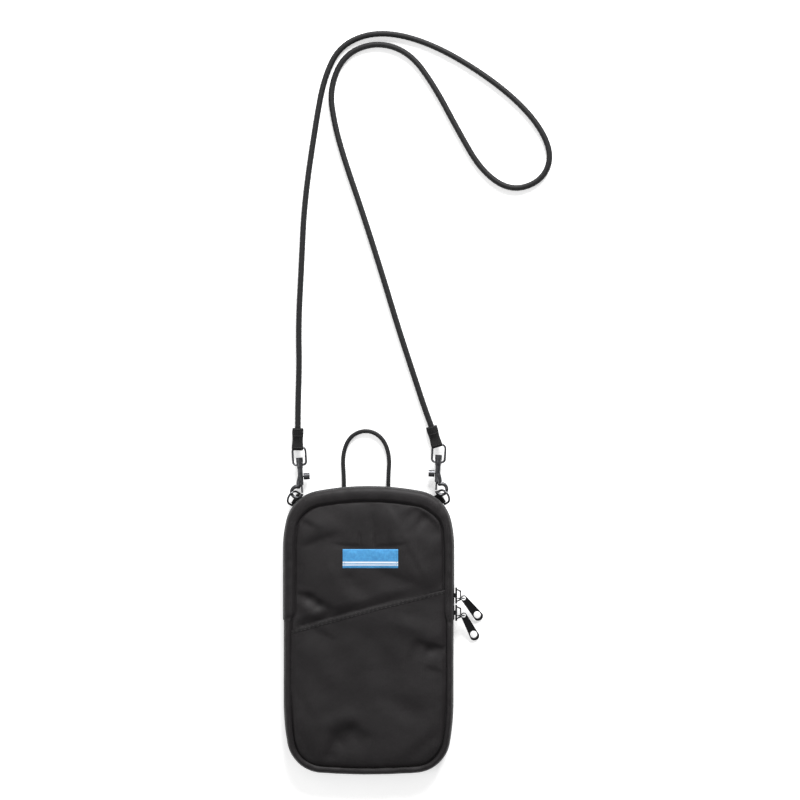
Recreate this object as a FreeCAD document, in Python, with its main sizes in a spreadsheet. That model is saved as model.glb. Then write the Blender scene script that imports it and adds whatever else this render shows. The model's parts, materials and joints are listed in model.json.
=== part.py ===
import FreeCAD, Part
import math
import os

# A zipped neck pouch lying on its back, with its cord, snap hooks, D-rings and zip pulls.
# X is to the right, Y towards the strap and Z up; the origin is the middle of the back panel's underside.

doc = FreeCAD.newDocument("neck_pouch")
V = FreeCAD.Vector

SIZES = {
    # Pouch body
    "pouch_height": 190, "pouch_width": 112.2, "pouch_depth": 17.2,
    "top_crown": 183, "top_corner": 25.5, "top_shoulder": 80, "top_turn": 77,
    "base_crown": 440, "base_corner": 24, "base_shoulder": 160, "base_turn": 80,
    "cloth": 1.2, "front_cloth": 1.0, "flange": 0.8, "seam_inset": 5.2, "seam_gap": 0.1,
    # Zip, which runs round the upper half of the gusset
    "zip_start": 7, "flap_fold": 58.5, "flap_gap": 0.3,
    "chain_mid": 9, "chain_gap": 1.2, "coil_height": 0.8, "coil_proud": 0.3, "coil_wall": 1.5,
    "tape_wall": 0.6, "tape_height": 1.6, "stop_length": 1.4,
    # Inside
    "divider_z": 6.2, "divider_cloth": 0.7, "card_cloth": 0.6, "lining_gap": 0.2,
    "card_low_top": 5, "card_high_top": 24, "binding_width": 2, "binding_cloth": 0.6,
    # Front pocket and label
    "pocket_cloth": 0.8, "hem_width": 2.4, "hem_cloth": 0.4,
    "mouth_half": 60, "mouth_left_y": -2.4, "mouth_mid_x": 4, "mouth_mid_y": 15.6, "mouth_right_y": 29.2,
    "label_x": 1.2, "label_y": 47.8, "label_width": 36.5, "label_height": 12.5, "label_cloth": 0.6,
    # Sliders and pulls
    "low_slider_y": 11.8, "high_slider_y": 23.2, "slider_length": 10.4, "slider_height": 8,
    "slider_plate": 1.2, "slider_narrowing": 1.2, "slider_inner_x": 53.4, "slider_outer_x": 57.2,
    "post_length": 3, "post_height": 0.7,
    "crown_span": 8.6, "crown_reach": 2.8, "crown_band": 0.8, "crown_height": 1.0,
    "crown_slope": 1.2,
    "link_radius": 2.15, "link_wire": 0.35, "link_drop": 22, "link_shift": 2.0,
    "link_exit": 35, "link_play": 0.33,
    "pull_length": 21.6, "pull_near": 4, "pull_far": 6.3, "pull_plate": 0.9,
    "pull_eye": 1.45, "pull_eye_edge": 2.0, "pull_hole_at": 15.2,
    "pull_hole_length": 5.3, "pull_hole_width": 4.4,
    "low_pull_turn": -62.4, "high_pull_turn": -51.3,
    # Strap hardware
    "cord_radius": 2.05, "cord_z": 2.3,
    "sleeve_width": 7.6, "sleeve_depth": 5.2, "sleeve_z": 3.0, "sleeve_round": 1.6, "sleeve_play": 0.25,
    "left_hook_x": -45.6, "left_hook_y": 109.3, "left_hook_turn": 3.5,
    "right_hook_x": 46, "right_hook_y": 111.2, "right_hook_turn": -3,
    "bail_half": 4.3, "bail_wire": 0.72, "bail_top": 11.8, "bail_corner": 3, "bail_foot": 2,
    "bail_base": 1.3, "boss_radius": 2.1,
    "swivel_pin": 1.05, "swivel_clearance": 0.06, "head_radius": 2.3, "head_top": 4.7,
    "flange_radius": 2.0, "collar_gap": 0.15, "shaft_radius": 1.75, "shaft_end": 13.4,
    "claw_x": 2.95, "claw_y": 18.07, "claw_radius": 3.55, "claw_wire": 0.95,
    "claw_begin": 115, "claw_sweep": 275, "neck_shift": 0.3, "neck_top": 9.5, "neck_radius": 1.65,
    "bolt_x": 0.5, "bolt_radius": 0.6, "bolt_clearance": 0.07, "bolt_top": 7.2, "bolt_end": 18.6,
    "bore_top": 2.4, "knob_y": 7.84, "knob_radius": 2.2, "knob_near": 2.1, "knob_far": 6.1,
    "stem_radius": 0.5, "spring_wire": 0.1, "bolt_travel": 4.0,
    "hook_low_z": 3.6, "hook_eye_z": 5.6,
    "ring_half": 4.7, "ring_leg": 3.4, "ring_wire": 0.7, "ring_z": 2.3, "ring_pitch": 52,
    "ring_drop": 6.75, "left_ring_out": 1.65, "left_ring_up": 1.35,
    "right_ring_out": 0.35, "right_ring_up": 0.9, "ring_turn": 32, "ring_side": 0.15,
    "tab_half": 3.7, "tab_reach": 5, "tab_cloth": 0.7, "ring_clearance": 0.06,
    # Grab loop at the top
    "loop_radius": 1.5, "loop_z": 2.0,
}
sheet = doc.addObject("Spreadsheet::Sheet", "Sizes")
for row, (alias, value) in enumerate(SIZES.items(), start=1):
    sheet.set("A%d" % row, alias)
    sheet.set("B%d" % row, str(value))
    sheet.setAlias("B%d" % row, alias)
doc.recompute()


def size(alias):
    return float(sheet.get(alias))


# ---------------------------------------------------------------- outlines

def on_arc(centre, radius, turn, way):
    """A point on an arc, its turn measured from the way the end of the pouch faces."""
    return V(centre[0] + radius * math.sin(turn), way * (centre[1] + radius * math.cos(turn)), 0)


def end_edges(inset, way, crown, corner, shoulder, turn_degrees):
    """Five tangent arcs round one end of the pouch, from its left side to its right side."""
    half_width = size("pouch_width") / 2
    half_height = size("pouch_height") / 2
    turn = math.radians(turn_degrees)
    flat = half_width - corner * math.sin(turn) - shoulder * (1 - math.sin(turn))
    lean = math.asin(flat / (crown - corner))
    crown_mid = (0, half_height - crown)
    corner_mid = (
        (crown - corner) * math.sin(lean),
        crown_mid[1] + (crown - corner) * math.cos(lean),
    )
    shoulder_mid = (
        corner_mid[0] + (corner - shoulder) * math.sin(turn),
        corner_mid[1] + (corner - shoulder) * math.cos(turn),
    )
    arcs = [
        (crown_mid, crown - inset, -lean, lean),
        (corner_mid, corner - inset, lean, turn),
        (shoulder_mid, shoulder - inset, turn, math.pi / 2),
    ]
    edges = []
    for mid, radius, begin, end in arcs:
        points = [on_arc(mid, radius, t, way) for t in (begin, (begin + end) / 2, end)]
        edges.append(Part.Arc(*points).toShape())
        if mid[0] != 0:
            mirrored = [V(-p.x, p.y, 0) for p in points]
            edges.append(Part.Arc(*mirrored).toShape())
    side_y = way * shoulder_mid[1]
    return edges, side_y


def outline_face(inset):
    """The pouch seen from above, drawn in by inset all round."""
    top, top_y = end_edges(
        inset, 1, size("top_crown"), size("top_corner"), size("top_shoulder"), size("top_turn"))
    base, base_y = end_edges(
        inset, -1, size("base_crown"), size("base_corner"), size("base_shoulder"), size("base_turn"))
    side = size("pouch_width") / 2 - inset
    sides = [
        Part.LineSegment(V(x, base_y, 0), V(x, top_y, 0)).toShape()
        for x in (-side, side)
    ]
    ordered = Part.__sortEdges__(top + base + sides)
    return Part.Face(Part.Wire(ordered))


def rectangle(x_low, y_low, x_high, y_high):
    return Part.makePlane(x_high - x_low, y_high - y_low, V(x_low, y_low, 0))


def between(face, y_low, y_high):
    wide = size("pouch_width")
    return face.common(rectangle(-wide, y_low, wide, y_high))


def above(face, y):
    return between(face, y, size("pouch_height"))


def below(face, y):
    return between(face, -size("pouch_height"), y)


def band(outer, inner):
    """The strip of the pouch outline between two insets."""
    return outline_face(outer).cut(outline_face(inner))


def trace(face):
    """Sketch geometry that follows every edge of a flat face."""
    drawn = []
    for edge in face.Edges:
        first = edge.valueAt(edge.FirstParameter)
        last = edge.valueAt(edge.LastParameter)
        if isinstance(edge.Curve, Part.Line):
            drawn.append(Part.LineSegment(first, last))
        elif edge.isClosed():
            drawn.append(Part.Circle(edge.Curve.Center, V(0, 0, 1), edge.Curve.Radius))
        else:
            middle = edge.valueAt((edge.FirstParameter + edge.LastParameter) / 2)
            drawn.append(Part.Arc(first, middle, last))
    return drawn


# ---------------------------------------------------------------- bodies

nodes = []


def new_body(label):
    body = doc.addObject("PartDesign::Body", label)
    body.Label = label
    body.AllowCompound = True
    nodes.append(body)
    return body


def new_sketch(body, name, role, geometry, offset="0"):
    sketch = body.newObject("Sketcher::SketchObject", body.Name + "_" + name)
    plane = [f for f in body.Origin.OriginFeatures if f.Role == role][0]
    sketch.AttachmentSupport = [(plane, "")]
    sketch.MapMode = "FlatFace"
    sketch.setExpression("AttachmentOffset.Base.z", offset)
    sketch.addGeometry(geometry, False)
    return sketch


def add_pad(body, name, geometry, length, offset="0", role="XY_Plane", both_ways=False):
    sketch = new_sketch(body, name + "_outline", role, geometry, offset)
    pad = body.newObject("PartDesign::Pad", body.Name + "_" + name)
    pad.Profile = sketch
    pad.setExpression("Length", length)
    pad.Midplane = both_ways
    return pad


def sheet_body(label, face, thickness, z):
    """A flat piece of cloth, lying at height z."""
    body = new_body(label)
    add_pad(body, "cloth", trace(face), thickness)
    body.setExpression("Placement.Base.z", z)
    return body


def gusset_body(label, trim, z_low, z_high, flange_low, flange_high):
    """A wall round the pouch with seam flanges turned in at its front and back."""
    body = new_body(label)
    add_pad(body, "wall", trace(trim(band(0, size("cloth")))), "(%s) - (%s)" % (z_high, z_low), z_low)
    flange = trace(trim(band(size("cloth") / 2, size("seam_inset"))))
    if flange_low:
        add_pad(body, "back_flange", flange, "Sizes.flange", z_low)
    if flange_high:
        add_pad(body, "front_flange", flange, "Sizes.flange", "(%s) - Sizes.flange" % z_high)
    return body


# ---------------------------------------------------------------- pouch cloth

UPPER = "Sizes.chain_mid + Sizes.chain_gap / 2 + Sizes.coil_height"
LOWER = "Sizes.chain_mid - Sizes.chain_gap / 2 - Sizes.coil_height"
zip_start = size("zip_start")
fold = size("flap_fold")
flap_start = fold + size("flap_gap")
panel_inset = size("seam_inset") + size("seam_gap")


def pouch_cloth():
    panel = outline_face(panel_inset)
    sheet_body("back_panel", panel, "Sizes.cloth", "0")
    front_z = "Sizes.pouch_depth - Sizes.front_cloth"
    sheet_body("front_panel", below(panel, fold), "Sizes.front_cloth", front_z)
    sheet_body("flap_panel", above(panel, flap_start), "Sizes.front_cloth", front_z)


def lower_half(face):
    return below(face, zip_start)


def upper_half(face):
    return above(face, zip_start + size("seam_gap"))


def side_strips(face):
    return between(face, zip_start + size("seam_gap"), fold)


def flap_part(face):
    return above(face, flap_start)


def gussets():
    gusset_body("bottom_gusset", lower_half, "0", "Sizes.pouch_depth", True, True)
    gusset_body("back_gusset", upper_half, "0", LOWER + " - Sizes.tape_height", True, False)
    front_low = UPPER + " + Sizes.tape_height"
    gusset_body("side_gusset", side_strips, front_low, "Sizes.pouch_depth", False, True)
    gusset_body("flap_gusset", flap_part, front_low, "Sizes.pouch_depth", False, True)


def zip_strips():
    """Tape and coil behind the chain's middle line, and the same in front of it."""
    tape_in = size("cloth") - size("tape_wall")
    tape = band(tape_in, size("cloth"))
    coil = band(-size("coil_proud"), size("coil_wall") - size("coil_proud"))
    tall = "Sizes.tape_height"
    sheet_body("back_tape", upper_half(tape), tall, LOWER + " - Sizes.tape_height")
    sheet_body("side_tape", side_strips(tape), tall, UPPER)
    sheet_body("flap_tape", flap_part(tape), tall, UPPER)
    sheet_body("back_coil", upper_half(coil), "Sizes.coil_height", LOWER)
    coil_z = UPPER + " - Sizes.coil_height"
    sheet_body("side_coil", side_strips(coil), "Sizes.coil_height", coil_z)
    sheet_body("flap_coil", flap_part(coil), "Sizes.coil_height", coil_z)


def zip_stops():
    """One clamp across both coils at each end of the zip, filling the gap between them."""
    side = size("pouch_width") / 2
    low = zip_start + size("seam_gap")
    high = low + size("stop_length")
    inner = side - size("coil_wall") + size("coil_proud")
    outer = side + size("coil_proud")
    right = rectangle(inner, low, outer, high)
    left = rectangle(-outer, low, -inner, high)
    body = new_body("zip_stops")
    add_pad(body, "clamps", trace(right) + trace(left), "Sizes.chain_gap")
    body.setExpression("Placement.Base.z", "Sizes.chain_mid - Sizes.chain_gap / 2")


def slanted_edge(drop):
    """The slanted mouth of the front pocket, lowered by drop."""
    half = size("mouth_half")
    left = V(-half, size("mouth_left_y") - drop, 0)
    middle = V(size("mouth_mid_x"), size("mouth_mid_y") - drop, 0)
    right = V(half, size("mouth_right_y") - drop, 0)
    return Part.Arc(left, middle, right)


def under_slant(drop):
    """Everything below the slanted mouth."""
    arc = slanted_edge(drop).toShape()
    left = arc.valueAt(arc.FirstParameter)
    right = arc.valueAt(arc.LastParameter)
    low = -size("pouch_height")
    points = [right, V(right.x, low, 0), V(left.x, low, 0), left]
    lines = [Part.LineSegment(a, b).toShape() for a, b in zip(points, points[1:])]
    return Part.Face(Part.Wire([arc] + lines))


def front_pocket():
    panel = outline_face(panel_inset)
    hem_low = size("hem_width")
    sheet_body("pocket_panel", panel.common(under_slant(0)), "Sizes.pocket_cloth", "Sizes.pouch_depth")
    hem = panel.common(under_slant(0)).cut(under_slant(hem_low))
    sheet_body("pocket_hem", hem, "Sizes.hem_cloth", "Sizes.pouch_depth + Sizes.pocket_cloth")


def woven_label():
    half_x = size("label_width") / 2
    half_y = size("label_height") / 2
    x, y = size("label_x"), size("label_y")
    face = rectangle(x - half_x, y - half_y, x + half_x, y + half_y)
    sheet_body("label", face, "Sizes.label_cloth", "Sizes.pouch_depth")


def inside_pieces():
    """Divider, card slots and the bindings that cover the raw seams."""
    inset = size("cloth") + size("lining_gap") + size("seam_gap")
    inner = outline_face(inset)
    card = outline_face(panel_inset)
    side = size("pouch_width") / 2
    notch = rectangle(size("slider_inner_x") - 0.5, zip_start - 2, side, fold)
    sheet_body("divider", inner.cut(notch), "Sizes.divider_cloth", "Sizes.divider_z")
    first_z = "Sizes.divider_z + Sizes.divider_cloth"
    sheet_body("card_slot_high", below(card, size("card_high_top")), "Sizes.card_cloth", first_z)
    second_z = first_z + " + Sizes.card_cloth"
    sheet_body("card_slot_low", below(card, size("card_low_top")), "Sizes.card_cloth", second_z)
    ring = band(inset, inset + size("binding_width"))
    sheet_body("back_binding", ring, "Sizes.binding_cloth", "Sizes.flange")
    front_z = "Sizes.pouch_depth - Sizes.flange - Sizes.binding_cloth - Sizes.lining_gap"
    sheet_body("front_binding", below(ring, fold), "Sizes.binding_cloth", front_z)
    sheet_body("flap_binding", flap_part(ring), "Sizes.binding_cloth", front_z)


# ---------------------------------------------------------------- solids from primitives

def primitive(kind, name, placement, **expressions):
    made = doc.addObject(kind, name)
    for prop, text in expressions.items():
        made.setExpression(prop, text)
    made.Placement = placement
    return made


def at(x, y, z, turn=0, axis=V(0, 0, 1)):
    return FreeCAD.Placement(V(x, y, z), FreeCAD.Rotation(axis, turn))


def rod(name, start, end, radius):
    """A round bar from start to end."""
    along = end - start
    bar = doc.addObject("Part::Cylinder", name)
    bar.setExpression("Radius", radius)
    bar.Height = along.Length
    bar.Placement = FreeCAD.Placement(start, FreeCAD.Rotation(V(0, 0, 1), along))
    return bar


def cone(name, start, end, start_radius, end_radius):
    """A round bar that tapers from start to end."""
    along = end - start
    bar = doc.addObject("Part::Cone", name)
    bar.setExpression("Radius1", start_radius)
    bar.setExpression("Radius2", end_radius)
    bar.Height = along.Length
    bar.Placement = FreeCAD.Placement(start, FreeCAD.Rotation(V(0, 0, 1), along))
    return bar


def ball(name, centre, radius):
    return primitive("Part::Sphere", name, FreeCAD.Placement(centre, FreeCAD.Rotation()), Radius=radius)


def bend(name, centre, radius, wire, start_degrees, sweep_degrees):
    """Part of a ring of wire in the local XY plane."""
    ring = primitive("Part::Torus", name, at(centre.x, centre.y, centre.z, start_degrees),
                     Radius1=radius, Radius2=wire)
    ring.Angle3 = sweep_degrees
    return ring


def joined(label, pieces, placement):
    fused = doc.addObject("Part::MultiFuse", label)
    fused.Shapes = pieces
    fused.Refine = True
    fused.Placement = placement
    return fused


def less(label, base, tools, placement):
    """The base with each of the tools cut away in turn."""
    for number, tool in enumerate(tools, start=1):
        cut = doc.addObject("Part::Cut", "%s_cut%d" % (label, number))
        cut.Base = base
        cut.Tool = tool
        base = cut
    base.Placement = placement
    return base


def keep(label, solid):
    solid.Label = label
    nodes.append(solid)
    return solid


HERE = FreeCAD.Placement()


# ---------------------------------------------------------------- sliders and pulls

def slider(label, middle_y):
    """Two plates either side of the zip wall, a post between them and an arched crown outside."""
    body = new_body(label)
    half = size("slider_length") / 2
    tall = size("slider_height") / 2
    narrow = tall - size("slider_narrowing")
    ends = [V(-half, -tall, 0), V(half, -narrow, 0), V(half, narrow, 0), V(-half, tall, 0)]
    plate = [Part.LineSegment(ends[i], ends[(i + 1) % 4]) for i in range(4)]
    add_pad(body, "outer", plate, "Sizes.slider_plate", "Sizes.slider_outer_x", "YZ_Plane")
    add_pad(body, "inner", plate, "Sizes.slider_plate", "Sizes.slider_inner_x", "YZ_Plane")
    post = size("post_length") / 2
    low = size("post_height") / 2
    post_face = trace(rectangle(-post, -low, post, low))
    add_pad(body, "post", post_face, "Sizes.slider_outer_x - Sizes.slider_inner_x",
            "Sizes.slider_inner_x + Sizes.slider_plate / 2", "YZ_Plane")
    face_x = size("slider_outer_x") + size("slider_plate") - 0.1
    top_x = face_x + size("crown_reach")
    thick = size("crown_band")
    span = size("crown_span") / 2
    outer = arch(face_x, top_x, span)
    inner = arch(face_x, top_x - thick, span - thick)
    add_pad(body, "crown", trace(outer.cut(inner)), "Sizes.crown_height", both_ways=True)
    body.Placement = at(0, middle_y, size("chain_mid"))
    return body


def arch(foot_x, top_x, span):
    """A bridge with sloping legs and a flat top, as a closed face."""
    slope = size("crown_slope")
    points = [V(foot_x, -span, 0), V(top_x, -span + slope, 0), V(top_x, span - slope, 0), V(foot_x, span, 0)]
    points.append(points[0])
    return Part.Face(Part.makePolygon(points))


def pull_set(prefix, middle_y, turn):
    """The link ring through a slider's crown, and the pull tab that hangs from it to the ground."""
    reach = size("link_radius")
    drop = math.radians(size("link_drop"))
    leave = math.radians(size("link_exit"))
    eye_x = size("slider_outer_x") + size("slider_plate") + size("link_wire") + size("link_play")
    eye = V(eye_x, middle_y - size("link_shift"), size("chain_mid"))
    up = V(0, 0, 1)
    centre = eye + V(reach * math.cos(drop), 0, -reach * math.sin(drop))
    link = primitive("Part::Torus", prefix + "_link",
                     FreeCAD.Placement(centre, FreeCAD.Rotation(up, V(0, 1, 0))),
                     Radius1="Sizes.link_radius", Radius2="Sizes.link_wire")
    keep(prefix + "_link", link)
    hole = centre + V(reach * math.cos(leave), 0, -reach * math.sin(leave))
    slope = pull_slope(hole.z)
    out = V(math.cos(math.radians(turn)), math.sin(math.radians(turn)), 0)
    across = up.cross(out)
    body = new_body(prefix + "_pull_tab")
    add_pad(body, "tab", trace(pull_face()), "Sizes.pull_plate", both_ways=True)
    along = out * math.cos(slope) - up * math.sin(slope)
    normal = along.cross(across) * -1
    body.Placement = FreeCAD.Placement(hole, FreeCAD.Rotation(along, normal.cross(along), normal, "XYZ"))
    print(prefix, "eye", tuple(eye), "hole", tuple(hole), "slope", slope)


def pull_slope(hole_z):
    """The slope at which the tab's far edge just clears the ground."""
    reach = size("pull_length") - size("pull_eye_edge")
    lift = size("pull_plate") / 2 + 0.1
    return math.asin((hole_z - lift) / reach)


def pull_face():
    """A tapered tab with round ends, a round eye near its small end and an oval hole near the other."""
    near = size("pull_near") / 2
    far = size("pull_far") / 2
    edge = size("pull_eye_edge")
    length = size("pull_length") - edge
    far_mid = length - far * 0.8
    low = [V(0, -near, 0), V(far_mid, -far, 0)]
    high = [V(far_mid, far, 0), V(0, near, 0)]
    outline = Part.Wire([
        Part.LineSegment(low[0], low[1]).toShape(),
        Part.Arc(low[1], V(length, 0, 0), high[0]).toShape(),
        Part.LineSegment(high[0], high[1]).toShape(),
        Part.Arc(high[1], V(-edge, 0, 0), low[0]).toShape(),
    ])
    eye = Part.Wire([Part.Circle(V(0, 0, 0), V(0, 0, 1), size("pull_eye")).toShape()])
    half = size("pull_hole_width") / 2
    long = size("pull_hole_length") / 2
    x = size("pull_hole_at")
    straight = long - half
    oval = Part.Wire([
        Part.LineSegment(V(x - straight, -half, 0), V(x + straight, -half, 0)).toShape(),
        Part.Arc(V(x + straight, -half, 0), V(x + long, 0, 0), V(x + straight, half, 0)).toShape(),
        Part.LineSegment(V(x + straight, half, 0), V(x - straight, half, 0)).toShape(),
        Part.Arc(V(x - straight, half, 0), V(x - long, 0, 0), V(x - straight, -half, 0)).toShape(),
    ])
    return Part.Face(outline).cut(Part.Face(eye)).cut(Part.Face(oval))


# ---------------------------------------------------------------- hooks, rings, bails, sleeves

def hook_placement(side):
    """Where a hook hangs: side is 1 for the right one and -1 for the left one."""
    name = "right" if side > 0 else "left"
    x, y, turn = (size(name + part) for part in ("_hook_x", "_hook_y", "_hook_turn"))
    rise = size("hook_eye_z") - size("hook_low_z")
    run = size("bail_top") + size("claw_y")
    pitch = math.degrees(math.atan(rise / run))
    z = size("hook_low_z") + size("bail_top") * rise / run
    rotation = FreeCAD.Rotation(V(0, 0, 1), turn).multiply(FreeCAD.Rotation(V(1, 0, 0), -pitch))
    return FreeCAD.Placement(V(x, y, z), rotation)


def bail(label, place):
    """A rounded stirrup of wire, with a boss at its foot that the hook's swivel pin turns in."""
    half = size("bail_half")
    top = size("bail_top")
    round_ = size("bail_corner")
    foot = size("bail_foot")
    boss = size("bail_base")
    wire = "Sizes.bail_wire"
    pieces = [
        rod(label + "_boss", V(0, -boss, 0), V(0, boss, 0), "Sizes.boss_radius"),
        rod(label + "_base", V(foot - half, 0, 0), V(half - foot, 0, 0), wire),
        rod(label + "_left_leg", V(-half, foot, 0), V(-half, top - round_, 0), wire),
        rod(label + "_right_leg", V(half, foot, 0), V(half, top - round_, 0), wire),
        rod(label + "_top", V(round_ - half, top, 0), V(half - round_, top, 0), wire),
        bend(label + "_left_bend", V(round_ - half, top - round_, 0), "Sizes.bail_corner", wire, 90, 90),
        bend(label + "_right_bend", V(half - round_, top - round_, 0), "Sizes.bail_corner", wire, 0, 90),
        bend(label + "_left_foot", V(foot - half, foot, 0), "Sizes.bail_foot", wire, 180, 90),
        bend(label + "_right_foot", V(half - foot, foot, 0), "Sizes.bail_foot", wire, 270, 90),
    ]
    solid = joined(label + "_wire", pieces, HERE)
    bore = rod(label + "_bore", V(0, -2 * boss, 0), V(0, 2 * boss, 0),
               "Sizes.swivel_pin + Sizes.swivel_clearance")
    keep(label, less(label, solid, [bore], place))


def hook(label, side, place):
    """Swivel head and pin, a hollow shaft and a curved claw, all one casting."""
    base = size("bail_base")
    gap = size("collar_gap")
    end = size("shaft_end")
    flange_y = -base - gap
    claw = V(side * size("claw_x"), -size("claw_y"), 0)
    radius = size("claw_radius")
    begin = math.radians(size("claw_begin"))
    arc_start = claw + V(side * radius * math.cos(begin), radius * math.sin(begin), 0)
    neck_top = V(side * size("neck_shift"), -size("neck_top"), 0)
    right_start = size("claw_begin") - size("claw_sweep")
    start_angle = right_start if side > 0 else 180 - size("claw_begin")
    wire = "Sizes.claw_wire"
    pieces = [
        rod(label + "_head", V(0, base + gap, 0), V(0, size("head_top"), 0), "Sizes.head_radius"),
        rod(label + "_pin", V(0, base + gap + 0.5, 0), V(0, flange_y - 0.5, 0), "Sizes.swivel_pin"),
        rod(label + "_flange", V(0, flange_y, 0), V(0, flange_y - 0.8, 0), "Sizes.flange_radius"),
        rod(label + "_shaft", V(0, flange_y - 0.4, 0), V(0, -end, 0), "Sizes.shaft_radius"),
        cone(label + "_neck", neck_top, arc_start, "Sizes.neck_radius", wire),
        ball(label + "_knuckle", arc_start, wire),
        bend(label + "_claw", claw, "Sizes.claw_radius", wire, start_angle, size("claw_sweep")),
    ]
    solid = joined(label + "_casting", pieces, HERE)
    x = -side * size("bolt_x")
    fit = size("bolt_clearance")
    bore = rod(label + "_bore", V(x, -size("bore_top"), 0), V(x, -end - 2, 0),
               "Sizes.bolt_radius + Sizes.bolt_clearance")
    wide = 2 * (size("stem_radius") + 0.1)
    low = -size("knob_y") - size("stem_radius") - 0.15
    high = -size("knob_y") + size("stem_radius") + size("bolt_travel") + 0.15
    slot = doc.addObject("Part::Box", label + "_slot")
    slot.Length = size("shaft_radius") + fit
    slot.Width = high - low
    slot.Height = wide
    left = x - slot.Length.Value if side > 0 else x
    slot.Placement = at(left, low, -wide / 2)
    keep(label, less(label, solid, [bore, slot], place))


def snap_bolt(label, side, place):
    """The sliding bolt that closes the claw, with its stem and thumb knob."""
    x = -side * size("bolt_x")
    y = -size("knob_y")
    pieces = [
        rod(label + "_rod", V(x, -size("bolt_top"), 0), V(x, -size("bolt_end"), 0), "Sizes.bolt_radius"),
        rod(label + "_stem", V(x, y, 0), V(-side * (size("knob_near") + 0.5), y, 0), "Sizes.stem_radius"),
        rod(label + "_knob", V(-side * size("knob_near"), y, 0), V(-side * size("knob_far"), y, 0),
            "Sizes.knob_radius"),
    ]
    keep(label, joined(label, pieces, place))


def bolt_spring(label, side, place):
    """The coil spring at the top of the shaft's bore, drawn as short as the bolt squeezes it."""
    wire = size("spring_wire")
    radius = size("bolt_radius") - wire - size("bolt_clearance")
    top = size("bore_top") + wire + size("bolt_clearance")
    pitch = 2.2 * wire
    coil = Part.makeHelix(pitch, 2 * pitch, radius)
    section = Part.Wire([Part.Circle(V(radius, 0, 0), V(0, 1, 0), wire).toShape()])
    shape = Part.Wire(coil.Edges).makePipeShell([section], True, True)
    spring = doc.addObject("Part::Feature", label)
    spring.Shape = shape
    local = FreeCAD.Placement(V(-side * size("bolt_x"), -top, 0), FreeCAD.Rotation(V(1, 0, 0), 90))
    spring.Placement = place.multiply(local)
    keep(label, spring)


def ring_placement(side, place):
    """The D-ring's straight bar lies in its webbing tab and the bow leans up through the claw."""
    eye = place.multVec(V(side * size("claw_x"), -size("claw_y"), 0))
    turn = math.radians(size("ring_turn"))
    along = V(math.sin(turn), -math.cos(turn) * side, 0)
    outward = V(math.cos(turn) * side, math.sin(turn), 0)
    bar = V(eye.x + side * size("ring_side"), eye.y - size("ring_drop"), size("ring_z"))
    name = "right" if side > 0 else "left"
    bar = bar + outward * size(name + "_ring_out") - along * side * size(name + "_ring_up")
    pitch = math.radians(size("ring_pitch"))
    bow = outward * math.cos(pitch) + V(0, 0, math.sin(pitch))
    return FreeCAD.Placement(bar, FreeCAD.Rotation(along, bow, along.cross(bow), "XYZ")), outward


def d_ring(label, place):
    half = size("ring_half")
    leg = size("ring_leg")
    wire = "Sizes.ring_wire"
    pieces = [
        rod(label + "_bar", V(-half, 0, 0), V(half, 0, 0), wire),
        ball(label + "_left_corner", V(-half, 0, 0), wire),
        ball(label + "_right_corner", V(half, 0, 0), wire),
        rod(label + "_left_leg", V(-half, 0, 0), V(-half, leg, 0), wire),
        rod(label + "_right_leg", V(half, 0, 0), V(half, leg, 0), wire),
        bend(label + "_bow", V(0, leg, 0), "Sizes.ring_half", wire, 0, 180),
    ]
    keep(label, joined(label, pieces, place))


def ring_tab(label, place, outward):
    """Webbing folded round the D-ring's bar and sewn into the pouch's side."""
    half = size("tab_half")
    clear = "Sizes.ring_wire + Sizes.ring_clearance"
    thick = size("ring_wire") + size("ring_clearance") + size("tab_cloth")
    fold_ = rod(label + "_fold", V(-half, 0, 0), V(half, 0, 0), clear + " + Sizes.tab_cloth")
    tongue = doc.addObject("Part::Box", label + "_tongue")
    tongue.Length = 2 * half
    tongue.Width = size("tab_reach")
    tongue.Height = 2 * thick
    tongue.Placement = at(-half, -size("tab_reach"), -thick)
    solid = joined(label + "_webbing", [fold_, tongue], HERE)
    bore = rod(label + "_bore", V(-half - 1, 0, 0), V(half + 1, 0, 0), clear)
    along = place.Rotation.multVec(V(1, 0, 0))
    up = along.cross(outward)
    flat = FreeCAD.Placement(place.Base, FreeCAD.Rotation(along, outward, up, "XYZ"))
    keep(label, less(label, solid, [bore], flat))


def sleeve(label, top, bottom, place):
    """The flat stitched end of the strap, folded round the bail's top bar."""
    along = top - bottom
    turn = math.degrees(math.atan2(along.y, along.x)) - 90
    wide = size("sleeve_width")
    deep = size("sleeve_depth")
    box = doc.addObject("Part::Box", label + "_block")
    box.Length = wide
    box.Width = along.Length
    box.Height = deep
    box.Placement = at(bottom.x, bottom.y, size("sleeve_z") - deep / 2, turn).multiply(at(-wide / 2, 0, 0))
    rounded = doc.addObject("Part::Fillet", label + "_rounded")
    rounded.Base = box
    doc.recompute()
    upright = [
        (number, size("sleeve_round"), size("sleeve_round"))
        for number, edge in enumerate(box.Shape.Edges, start=1)
        if abs(edge.tangentAt(edge.FirstParameter).dot(along.normalize())) > 0.99
    ]
    rounded.Edges = upright
    bore = doc.addObject("Part::Cylinder", label + "_bore")
    bore.setExpression("Radius", "Sizes.bail_wire + Sizes.sleeve_play")
    bore.Height = 3 * wide
    crosswise = FreeCAD.Rotation(V(0, 0, 1), V(1, 0, 0))
    bore_local = FreeCAD.Placement(V(-1.5 * wide, size("bail_top"), 0), crosswise)
    bore.Placement = place.multiply(bore_local)
    keep(label, less(label, rounded, [bore], HERE))


# ---------------------------------------------------------------- cords

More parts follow.
